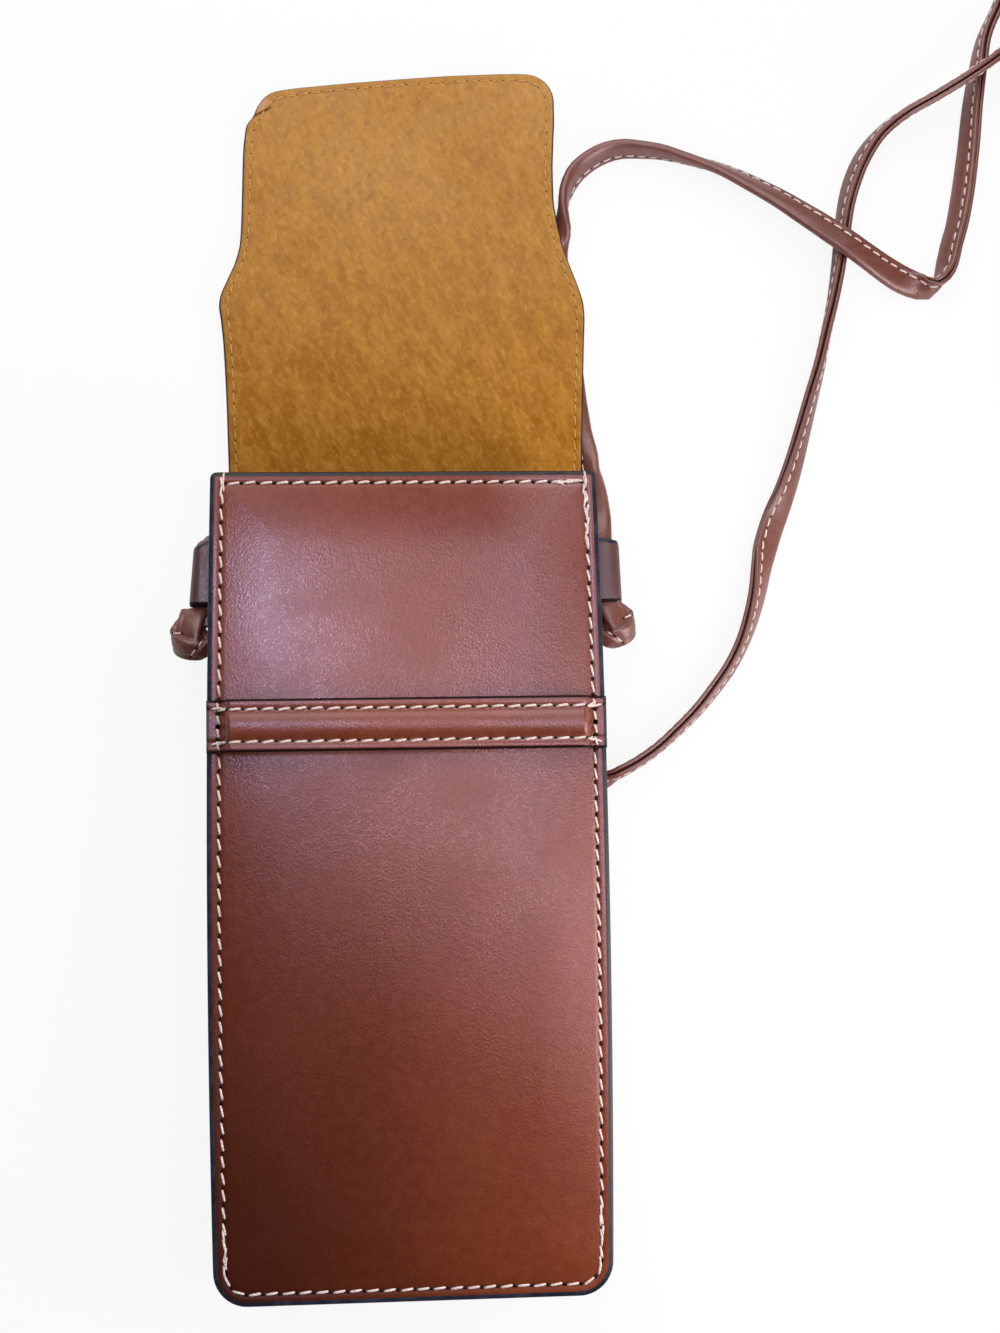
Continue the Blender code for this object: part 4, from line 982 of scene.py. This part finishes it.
def make_flap_seams():
    flat = flap_ring(FLAP_SEAM_INSET)
    rise = tip_curl(flat[:, 0], flat[:, 1])
    flap_row("flap_suede", flat, True, 31, (), rise, 5.0)
    flap_row("flap_leather", flat, False, 32, ["flap_seam_thread"], rise, 5.0)
    for name, rows, side in (("left_spine", LEFT_EDGE, 1), ("right_spine", RIGHT_EDGE, -1)):
        flat = edge_line(rows, np.linspace(91.6, SPLIT_Y, 24)) + (side * FLAP_SEAM_INSET, 0)
        flap_row(name, flat, False, 33, [name + "_thread"])
        flap_row(name + "_suede", flat, True, 34)


# The strap. Each row of a run is a place of its middle line with the direction from the folded edge to the
# sewn edge, or with that edge's tilt: 0 is up, 90 is to the right of travel, 180 is down

COIL_CENTRE = (181.1, 256.6)
COIL_RADIUS = 33.0
COIL_START_DEGREES = -60.0
COIL_TURNS = 8.0 / 3.0
COIL_CLEARANCE = 0.5
TIE_TURN = 0.83
TIE_RADIUS = 0.5
TIE_SPREAD = 0.06
ROUTE_STEP = 2.1
# In the air: x, y, z and the sewn edge's direction. On the table: x, y, tilt and, for some, its lift
LEFT_HANGING = [
    (-LOOP_X, 73.7, LOOP_Z, 1, 0, 0), (-LOOP_X, 74.9, LOOP_Z, 1, 0, 0), (-45.0, 76.3, 8.2, 0.95, 0.3, 0),
    (-44.9, 76.9, 6.7, 0.93, 0.37, 0), (-44.95, 76.9, 5.0, 0.8, 0.6, 0), (-45.1, 76.8, 3.0, 0.4, 0.92, 0),
    (-45.3, 76.6, 0.6, 0.08, 1, 0), (-45.3, 76.4, -2.6, 0, 1, 0), (-44.75, 76.3, -4.15, 0, 1, 0),
]
LEFT_UNDER = [
    (-43.4, 76.2), (-41.3, 76), (-38, 75.3), (-32, 72.2), (-26.4, 66), (-22.8, 56), (-20.4, 41), (-19, 21),
    (-17.5, 1), (-13.8, -17), (-6, -30), (5, -35.5), (15.5, -32), (23, -21), (28, -6), (33, 8.5),
    (38.3, 16.2),
]
LEFT_LAID = [(x, y, -90) for x, y in LEFT_UNDER] + [
    (43.2, 19.7, -88), (46.5, 21.5, -46), (48.8, 22.7, -12), (54, 25.4, -8), (59.5, 29.1, -8),
    (64.1, 33.1, -10), (69.2, 38, -13), (73.3, 42.8, -17), (77.4, 48.3, -20), (80.5, 54.1, -24),
    (82.8, 60.1, -31), (84.5, 66.1, -39), (85.7, 72.2, -52), (86.9, 77.1, -72), (88.9, 83, -76),
    (91.8, 90, -55), (94.4, 97.5, -43), (96.6, 105.1, -34), (98.7, 112.5, -27), (101.1, 121, -18),
    (103, 129.6, -9), (104.7, 136.9, -2), (106.1, 144.3, 5),
    (107.3, 152.3, 11), (108.6, 160.5, 18), (110.3, 166.4, 24), (112.9, 172.2, 24), (117, 177.8, 16, 0.1),
    (123.6, 183, 11, 1.2), (131.2, 186.8, 9, 3.6), (138, 190.6, 9, 5.6), (143.6, 194.3, 10, 6.4),
    (148.6, 198.1, 9, 6.1), (158, 203.8, 6, 4.4), (170, 211.1, 0, 2), (182, 218.4, 0, 0.4),
]
RIGHT_HANGING = [
    (LOOP_X, 73.7, LOOP_Z, -1, 0, 0), (LOOP_X, 77.2, LOOP_Z, -1, 0, 0), (45.15, 81.5, 7.6, -1, 0, -0.17),
    (45.25, 86, 4.1, -0.82, 0, -0.57), (45.45, 90.5, 0.2, -0.5, 0, -0.87), (45.1, 94.3, -2.9, -0.5, 0, -0.87),
]
RIGHT_LAID = [
    (44.7, 97.4, -130), (44.4, 99.7, -110), (43.7, 102.2, -98), (42.9, 105, -90), (42.3, 108, -90),
    (41.7, 111.5, -90), (41, 117.5, -90), (40.3, 125, -90), (39.5, 133, -90), (38.6, 141, -90),
    (38.2, 147, -90), (38.5, 150.4, -95), (39.1, 153.3, -114), (39.4, 155.8, -150), (39.5, 158.3, -178),
    (39.7, 161.2, -190),
    (40.4, 164.1, -200), (42.6, 168.2, -210), (45.4, 170.8, -210), (49.1, 173, -207), (53.6, 174.3, -199),
    (58.6, 174.2, -190), (63.4, 173.6, -181, 0.2), (68.2, 172.3, -171, 0.4), (73, 170.7, -161, 0.8),
    (77.8, 168.9, -151, 1.3), (82.5, 166.5, -140, 2), (87.1, 163.7, -132, 3), (91.7, 160.7, -124, 4.2),
    (96.3, 157.3, -115, 5.4), (101.1, 153.9, -105, 6.3), (106.5, 150.3, -98, 6.5), (112.1, 146.8, -94, 5.4),
    (118, 143.8, -91, 2.8), (122.7, 141.8, -84, 0.9), (126.2, 140.6, -64), (128.6, 139.9, -36),
    (130.6, 140.8, -5), (132.2, 143.3, 22), (133.5, 147.1, 38), (134.5, 151, 38), (135.8, 155, 37),
    (137.4, 162, 40), (139.5, 174.5, 35), (141.2, 187.2, 25), (142.6, 194.9, 17), (144.4, 202.7, 6),
    (148.5, 211.5, 0), (152, 222.5, 0), (151, 234.5, 0, 2.2), (148.7, 245.5, 0, 5.6),
]
# Where the strap is pulled narrower or lies wider: x, y, reach, share of its width
SQUEEZES = ((38.7, 150.5, 8.0, -0.22), (44.2, 99.5, 7.0, -0.18), (121.0, 143.0, 7.0, 0.1),
            (-45.0, 74.0, 4.5, -0.2), (45.0, 20.8, 3.6, -0.38))
# The folded strap: two rounded lips with a dark groove between them at one edge, a round fold at the other.
# The groove's darkness is painted shade
STRAP_HALF = [(2.72, 0.2), (2.95, 0.34), (3.04, 0.6), (2.98, 0.92), (2.76, 1.13), (2.4, 1.21), (1.95, 1.18),
              (1.55, 1.04), (1.15, 1.19), (0.5, 1.25), (-0.4, 1.25), (-1.3, 1.2), (-2.1, 1.06), (-2.65, 0.76),
              (-2.93, 0.38)]
STRAP_SECTION = STRAP_HALF + [(-3.0, 0.0)] + [(w, -t) for w, t in reversed(STRAP_HALF)] + [(2.3, 0.0)]


def on_table(x, y, tilt, lift=0.0):
    core = (STRAP_WIDTH - STRAP_THICKNESS) / 2
    rise = STRAP_THICKNESS / 2 + core * abs(math.cos(math.radians(tilt)))
    return np.array([x, y, TABLE + lift + rise]), math.radians(tilt)


def strap_run(hanging, laid, turn, travel):
    """A run from its loop to the coil's end at turn, which it meets from the side travel, as even steps."""
    rows = [(np.array(row[:3], float), unit(np.array(row[3:], float))) for row in hanging]
    rows += [on_table(*row) for row in laid]
    rows += [(coil_point(turn) + coil_direction(turn) * travel * reach, UP) for reach in (4, 0.3)]
    points = np.array([row[0] for row in rows])
    sides = []
    for index, (_, side) in enumerate(rows):
        if not isinstance(side, np.ndarray):
            along = unit(points[min(index + 1, len(rows) - 1)] - points[max(index - 1, 0)])
            up = unit(UP - along * along[2])
            side = up * math.cos(side) + np.cross(along, up) * math.sin(side)
        sides.append(side)
    places = lengths_along(points)
    targets = np.linspace(0, places[-1], int(places[-1] / ROUTE_STEP) + 1)
    route = np.stack([smooth(places, points[:, i], targets, i == 2) for i in range(3)], axis=1)
    return route, np.stack([smooth(places, values, targets) for values in np.array(sides).T], axis=1)


def coil_depth(turn):
    """How many turns' pitch the strap lies inside the coil's outermost turn."""
    middle = COIL_TURNS / 2
    away = abs(turn - middle)
    if away > 0.75:
        return middle - away
    return middle + 0.25 - 2 * max(away - 0.25, 0.0)


def coil_point(turn):
    angle = math.radians(COIL_START_DEGREES) + 2 * math.pi * turn
    radius = COIL_RADIUS - (STRAP_THICKNESS + COIL_CLEARANCE) * coil_depth(turn)
    half = COIL_TURNS / 2
    layer = (STRAP_WIDTH + COIL_CLEARANCE) * ease(half - 0.25, half + 0.25, turn)
    from_tie = (turn - TIE_TURN + 0.5) % 1.0 - 0.5
    bump = (2 * TIE_RADIUS + LAYER_GAP) * math.exp(-((from_tie / TIE_SPREAD) ** 2))
    x = COIL_CENTRE[0] + radius * math.cos(angle)
    y = COIL_CENTRE[1] + radius * math.sin(angle)
    return np.array([x, y, TABLE + STRAP_WIDTH / 2 + layer + bump])


def coil_direction(turn):
    return unit(coil_point(min(turn + 0.004, COIL_TURNS)) - coil_point(max(turn - 0.004, 0.0)))


def strap_route():
    """The whole strap from the right loop, through the coil, to the left loop."""
    right, right_across = strap_run(RIGHT_HANGING, RIGHT_LAID, COIL_TURNS, 1)
    left, left_across = strap_run(LEFT_HANGING, LEFT_LAID, 0.0, -1)
    coil = np.array([coil_point(turn) for turn in np.linspace(COIL_TURNS, 0, 250)])[1:-1]
    points = np.concatenate([right[:-1], coil, left[::-1][1:]])
    across = np.concatenate([right_across[:-1], np.broadcast_to(UP, coil.shape), left_across[::-1][1:]])
    along = directions(points)
    across = square_to(along, across)
    return points, across, unit(np.cross(across, along))


def squeeze(points):
    factor = np.ones(len(points))
    for x, y, reach, change in SQUEEZES:
        away = np.hypot(points[:, 0] - x, points[:, 1] - y)
        factor += change * np.exp(-((away / reach) ** 2))
    return factor[:, None]


# The strap's seam: how far across from its middle line, and how far out of it
STRAP_SEAM = (1.55, 1.06)


def strap_rings(points, across, normal, wide=1.0, thick=1.0):
    return [[p + a * (w * wide) + n * (t * thick) for w, t in STRAP_SECTION]
            for p, a, n in zip(points, across, normal)]


def make_strap():
    points, across, normal = strap_route()
    wide = across * squeeze(points)
    shape = Shape()
    # The groove's two faces and both end caps take the near-black painted shade
    shape.sweep(strap_rings(points, wide, normal), [0] * (len(STRAP_SECTION) - 2) + [1, 1], caps=1)
    strap = shape.piece("strap", [STRAP_LEATHER, PAINTED_SHADE], "root", "strap_leather",
                        ["strap_left_run", "strap_right_run", "strap_coil"])
    rows = Stitching(41)
    aside, out = STRAP_SEAM
    for side in (1, -1):
        rows.row(points + wide * aside + normal * side * out, normal * side, 2.9, 2.2, 0.22, 4.0, 0.05, 0.26)
    stitches = rows.sewn("strap_stitches", "root")
    tie = make_tie()


def make_tie():
    """A waxed cord wound three times round the two layers of the coil."""
    middle = (coil_point(TIE_TURN) + coil_point(TIE_TURN + 1)) / 2
    outward = unit(np.array([middle[0] - COIL_CENTRE[0], middle[1] - COIL_CENTRE[1], 0]))
    sideways = np.cross(UP, outward)
    bend = 1.25
    half_out = STRAP_THICKNESS / 2 + LAYER_GAP + TIE_RADIUS - bend
    half_up = STRAP_WIDTH + COIL_CLEARANCE / 2 + LAYER_GAP + TIE_RADIUS - bend
    flat = np.concatenate([corner(a * half_out, b * half_up, bend, start, start + 90, 6)
                           for a, b, start in ((1, -1, -90), (1, 1, 0), (-1, 1, 90), (-1, -1, 180))])
    angles = np.radians(np.arange(0, 360, 45))
    shape = Shape()
    for shift in (-0.95, 0.0, 0.95):
        ring = np.array([middle + sideways * shift + outward * a + UP * b for a, b in flat])
        out = unit(np.cross(unit(np.roll(ring, -1, axis=0) - np.roll(ring, 1, axis=0)), sideways))
        thick = TIE_RADIUS * 0.92
        rows = [shape.add([p + o * (math.cos(t) * thick) + sideways * (math.sin(t) * thick) for t in angles])
                for p, o in zip(ring, out)]
        for low, high in zip(rows, rows[1:] + rows[:1]):
            shape.strip(low, high, [0] * len(low))
    return shape.piece("coil_tie", [TIE_CORD], "root", "tie_cord", ["strap_tie"])


# Loops and knots

LOOP_SECTION = [(0.0, -0.2), (0.0, 0.2), (0.02, 0.45), (0.065, 0.58), (0.09, 0.6), (0.3, 0.6), (0.5, 0.6),
                (0.7, 0.6), (0.9, 0.6), (0.94, 0.58), (0.98, 0.45), (1.0, 0.2), (1.0, -0.2), (0.98, -0.45),
                (0.94, -0.6), (0.5, -0.6), (0.06, -0.6), (0.02, -0.45)]
# The loop's foot rim and inner foot corner are near-black: painted shade inside its opening, over its edge
# paint
LOOP_PAINTS = [3] * 3 + [0] * 6 + [1] * 4 + [2] * 3 + [3] * 2
LOOP_TAB = [(39.35, -5.7), (39.35, -3.6), (39.6, -2.75), (40.3, -2.3), (41.6, -2.15), (44.0, -2.15)]


def make_loop(name, side, node, outer_top, outer_foot, droop):
    """A leather keeper that wraps the strap and is sewn to the gusset's wall by two tabs."""
    reach = STRAP_THICKNESS / 2 + LAYER_GAP + 0.6
    centre_x = LOOP_X + 1.9
    outermost = centre_x + reach + 0.6
    lower = np.array(LOOP_TAB) + (0, LOOP_Z)
    upper = lower[::-1] * (1, -1) + (0, 2 * LOOP_Z)
    route = resample(np.concatenate([lower, corner(centre_x, LOOP_Z, reach, -90, 90, 16), upper]), 64)
    along = directions(route)
    rings = []
    for point, normal in zip(route, np.stack([along[:, 1], -along[:, 0]], axis=1)):
        top = LOOP_TOP + LAYER_GAP - droop * ease(44.5, 48.9, point[0])
        top -= (top - 74.4) * ease(LOOP_Z + 0.9, LOOP_Z - 1.3, point[1])
        foot = LOOP_FOOT + 0.2 * ease(43.5, 49.0, point[0])
        ring = []
        for share, depth in LOOP_SECTION:
            x, z = point + normal * depth
            outer = outer_foot + (outer_top - outer_foot) * share
            x += (outer - outermost) * max(x - 43.0, 0.0) / (outermost - 43.0)
            ring.append((side * x, foot + (top - foot) * share, z))
        rings.append(ring)
    shape = Shape()
    shape.sweep(rings, LOOP_PAINTS, caps=1)
    shape.piece(name, [LOOP_SHEEN_LEATHER, EDGE, CUT, PAINTED_SHADE], "root", "case_leather", [node])


# The knots: turns of the strap round a small core, from the knot's middle with x outward from the case. Each
# turn: points, share of the strap's width
KNOT_CORE = (3.2, 3.4, 2.6)
KNOT_TURNS = (
    (((0.2, 6.2, 0.2), (0.6, 4.3, 2.1), (1.2, 1.6, 3.1), (1.8, -1.2, 2.6), (2.0, -3.0, 1.0)), 1.0),
    (((4.0, 1.6, -2.4), (4.45, -0.2, -0.3), (3.7, -1.8, 1.9), (1.5, -2.8, 3.3), (-0.8, -3.0, 3.1)), 0.84),
    (((-3.8, 0.0, 1.2), (-3.1, -1.8, 2.8), (-1.7, -3.4, 2.6), (-0.5, -4.1, 0.8), (0.3, -3.9, -1.6)), 0.6),
    (((4.0, 3.0, 0.6), (3.4, 2.2, -2.2), (1.2, 0.5, -3.4), (-1.5, -1.8, -3.0), (-3.0, -2.6, -0.8)), 0.84),
)
KNOT_THICKNESS = 0.8
# The stub of strap between knot and loop, as y of its foot, its bend and its top
STUB = (57.5, 62.0, 73.4)
STUB_SHARE = 0.94
KNOT_STITCHES = (((-2.3, -0.7), (0.9, -4.5), 2), ((2.6, 0.8), (5.0, 1.0), 1))


def knot_turn(rows, wide):
    """One turn of the strap with its flat side outward."""
    places = lengths_along(rows)
    targets = np.linspace(0, places[-1], 40)
    curve = np.stack([smooth(places, values, targets, False) for values in rows.T], axis=1)
    along = directions(curve)
    out = square_to(along, curve)
    return strap_rings(curve, np.cross(out, along), out, wide, KNOT_THICKNESS)


def ellipsoid(radii):
    return [np.column_stack([corner(0, 0, math.cos(tilt), 0, 345, 23) * radii[:2],
                             np.full(24, math.sin(tilt) * radii[2])])
            for tilt in np.radians(np.linspace(-80, 80, 9))]


def make_knot(name, side, centre, turn, narrow):
    """The knot and the stub of strap up to its loop, fused into one skin, with the few stitches that show."""
    spin = np.array(Matrix.Rotation(math.radians(turn), 3, "Z"))
    sides = [0] * len(STRAP_SECTION)
    work = Shape()
    work.sweep(ellipsoid(KNOT_CORE), [0] * 24)
    for rows, wide in KNOT_TURNS:
        work.sweep(knot_turn(np.array(rows) @ spin.T, wide), sides)
    work.points = ((np.array(work.points) + centre) * (side, 1, 1)).tolist()
    stub = []
    foot, bend, top = STUB
    for y in np.linspace(foot, top, 14):
        wide = STUB_SHARE + (narrow - STUB_SHARE) * ease(bend, top, y)
        x = LOOP_X - 0.2 * ease(bend, top, y) + 0.5 * ease(bend, foot + 0.5, y)
        stub.append([(side * (x - w * wide), y, LOOP_Z + t * STUB_SHARE) for w, t in STRAP_SECTION])
    work.sweep(stub, sides)
    knot = work.piece(name + "_leather", [STRAP_LEATHER], None, "strap_leather", [name])
    remesh = knot.modifiers.new("fuse", "REMESH")
    remesh.mode = "VOXEL"
    remesh.voxel_size = 0.25 * MM
    soften = knot.modifiers.new("soften", "SMOOTH")
    soften.factor = 0.5
    soften.iterations = 2
    bpy.context.view_layer.update()
    mesh = bpy.data.meshes.new_from_object(knot.evaluated_get(bpy.context.evaluated_depsgraph_get()))
    knot.modifiers.clear()
    knot.data = mesh
    mesh.polygons.foreach_set("use_smooth", [True] * len(mesh.polygons))
    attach(knot, name)
    rows = Stitching(51)
    for start, end, count in KNOT_STITCHES:
        flat = line(start, end, 12) @ spin[:2, :2].T + centre[:2]
        spots, ups = dropped_on(knot, flat * (side, 1))
        rows.row(spots, ups, lengths_along(spots)[-1] / count, 2.0, 0.21, 3.0, 0.0, 0.3)
    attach(rows.sewn(name + "_stitches", None), name)


def dropped_on(obj, flat):
    """The places straight below the points of flat on obj's mesh, with the directions out of it."""
    found = [obj.ray_cast(Vector((x * MM, y * MM, 0.1)), Vector((0, 0, -1))) for x, y in flat]
    found = [(spot, normal) for hit, spot, normal, _ in found if hit]
    return np.array([spot for spot, _ in found]) / MM, np.array([normal for _, normal in found])


# Floor and light

WHITE = (1, 1, 1, 1)


def add_stage():
    """A floor that the camera sees as white, with the object's shadow on it."""
    size = 4.0
    z = TABLE * MM
    corners = [(-size, -size, z), (size, -size, z), (size, size, z), (-size, size, z)]
    mesh = bpy.data.meshes.new("floor")
    mesh.from_pydata(corners, [], [(0, 1, 2, 3)])
    floor = placed("floor", mesh)
    paint = Paint("floor_white", Base_Color=(0.86, 0.86, 0.86, 1), Roughness=0.9, Specular_IOR_Level=0.1)
    seen = paint.both(add_node(paint.tree, "LightPath", "Is Camera Ray"), 0.88)
    glow = add_node(paint.tree, "Emission", "Emission", {"Color": WHITE, "Strength": 1.0})
    show_camera(paint.tree, "Material Output", seen, paint.shader.outputs["BSDF"], glow)
    mesh.materials.append(paint.material)


def show_camera(tree, output, share, plain, bright):
    """Mixes bright over plain by share, which is 0 for all rays but the camera's."""
    mix = add_node(tree, "MixShader", "Shader", {"Fac": share, 1: plain, 2: bright})
    tree.links.new(mix, tree.nodes[output].inputs["Surface"])


def area_light(name, location, target, size, power, colour):
    data = bpy.data.lights.new(name, "AREA")
    data.shape = "RECTANGLE"
    data.size, data.size_y = size
    data.energy = power
    data.color = colour
    light = placed(name, data)
    light.location = location
    light.rotation_euler = (Vector(target) - Vector(location)).to_track_quat("-Z", "Y").to_euler()


def add_light():
    world = bpy.data.worlds.new("soft_room")
    world.use_nodes = True
    bpy.context.scene.world = world
    tree = world.node_tree
    room = tree.nodes["Background"]
    feed(tree, room.inputs["Color"], (0.96, 0.97, 1.0, 1))
    feed(tree, room.inputs["Strength"], 0.1)
    white = add_node(tree, "Background", "Background", {"Color": WHITE, "Strength": 1.0})
    seen = add_node(tree, "LightPath", "Is Camera Ray")
    show_camera(tree, "World Output", seen, room.outputs["Background"], white)
    area_light("window", (-0.116, 0.15, 0.9), (-0.02, 0.04, 0.0), (0.14, 0.14), 1.62, (0.7, 0.76, 1.0))
    area_light("window_right", (0.2, -0.03, 0.9), (0.03, 0.0, 0.0), (0.12, 0.3), 1.12, (0.9, 0.88, 1.0))
    area_light("top", (-0.05, 0.45, 0.36), (0.0, 0.03, 0.0), (0.6, 0.5), 2.4, (1.0, 0.98, 0.95))
    area_light("right_low", (0.24, -0.06, 0.14), (0.0, 0.0, 0.0), (0.15, 0.3), 0.85, (1.0, 0.97, 0.95))


bpy.context.scene.view_settings.view_transform = "Standard"
add_camera()
add_stage()
add_light()
make_strap()
make_panels()
make_gusset()
make_band()
make_flap()
make_seams()
make_band_seams()
make_flap_seams()
make_loop("left_loop_leather", -1, "left_strap_loop", 47.9, 49.0, 1.2)
make_loop("right_loop_leather", 1, "right_strap_loop", 49.6, 50.1, 0.4)
make_knot("left_knot", -1, (47.6, 55.0, LOOP_Z), 0, 0.76)
make_knot("right_knot", 1, (47.6, 56.8, LOOP_Z), 16, 0.94)
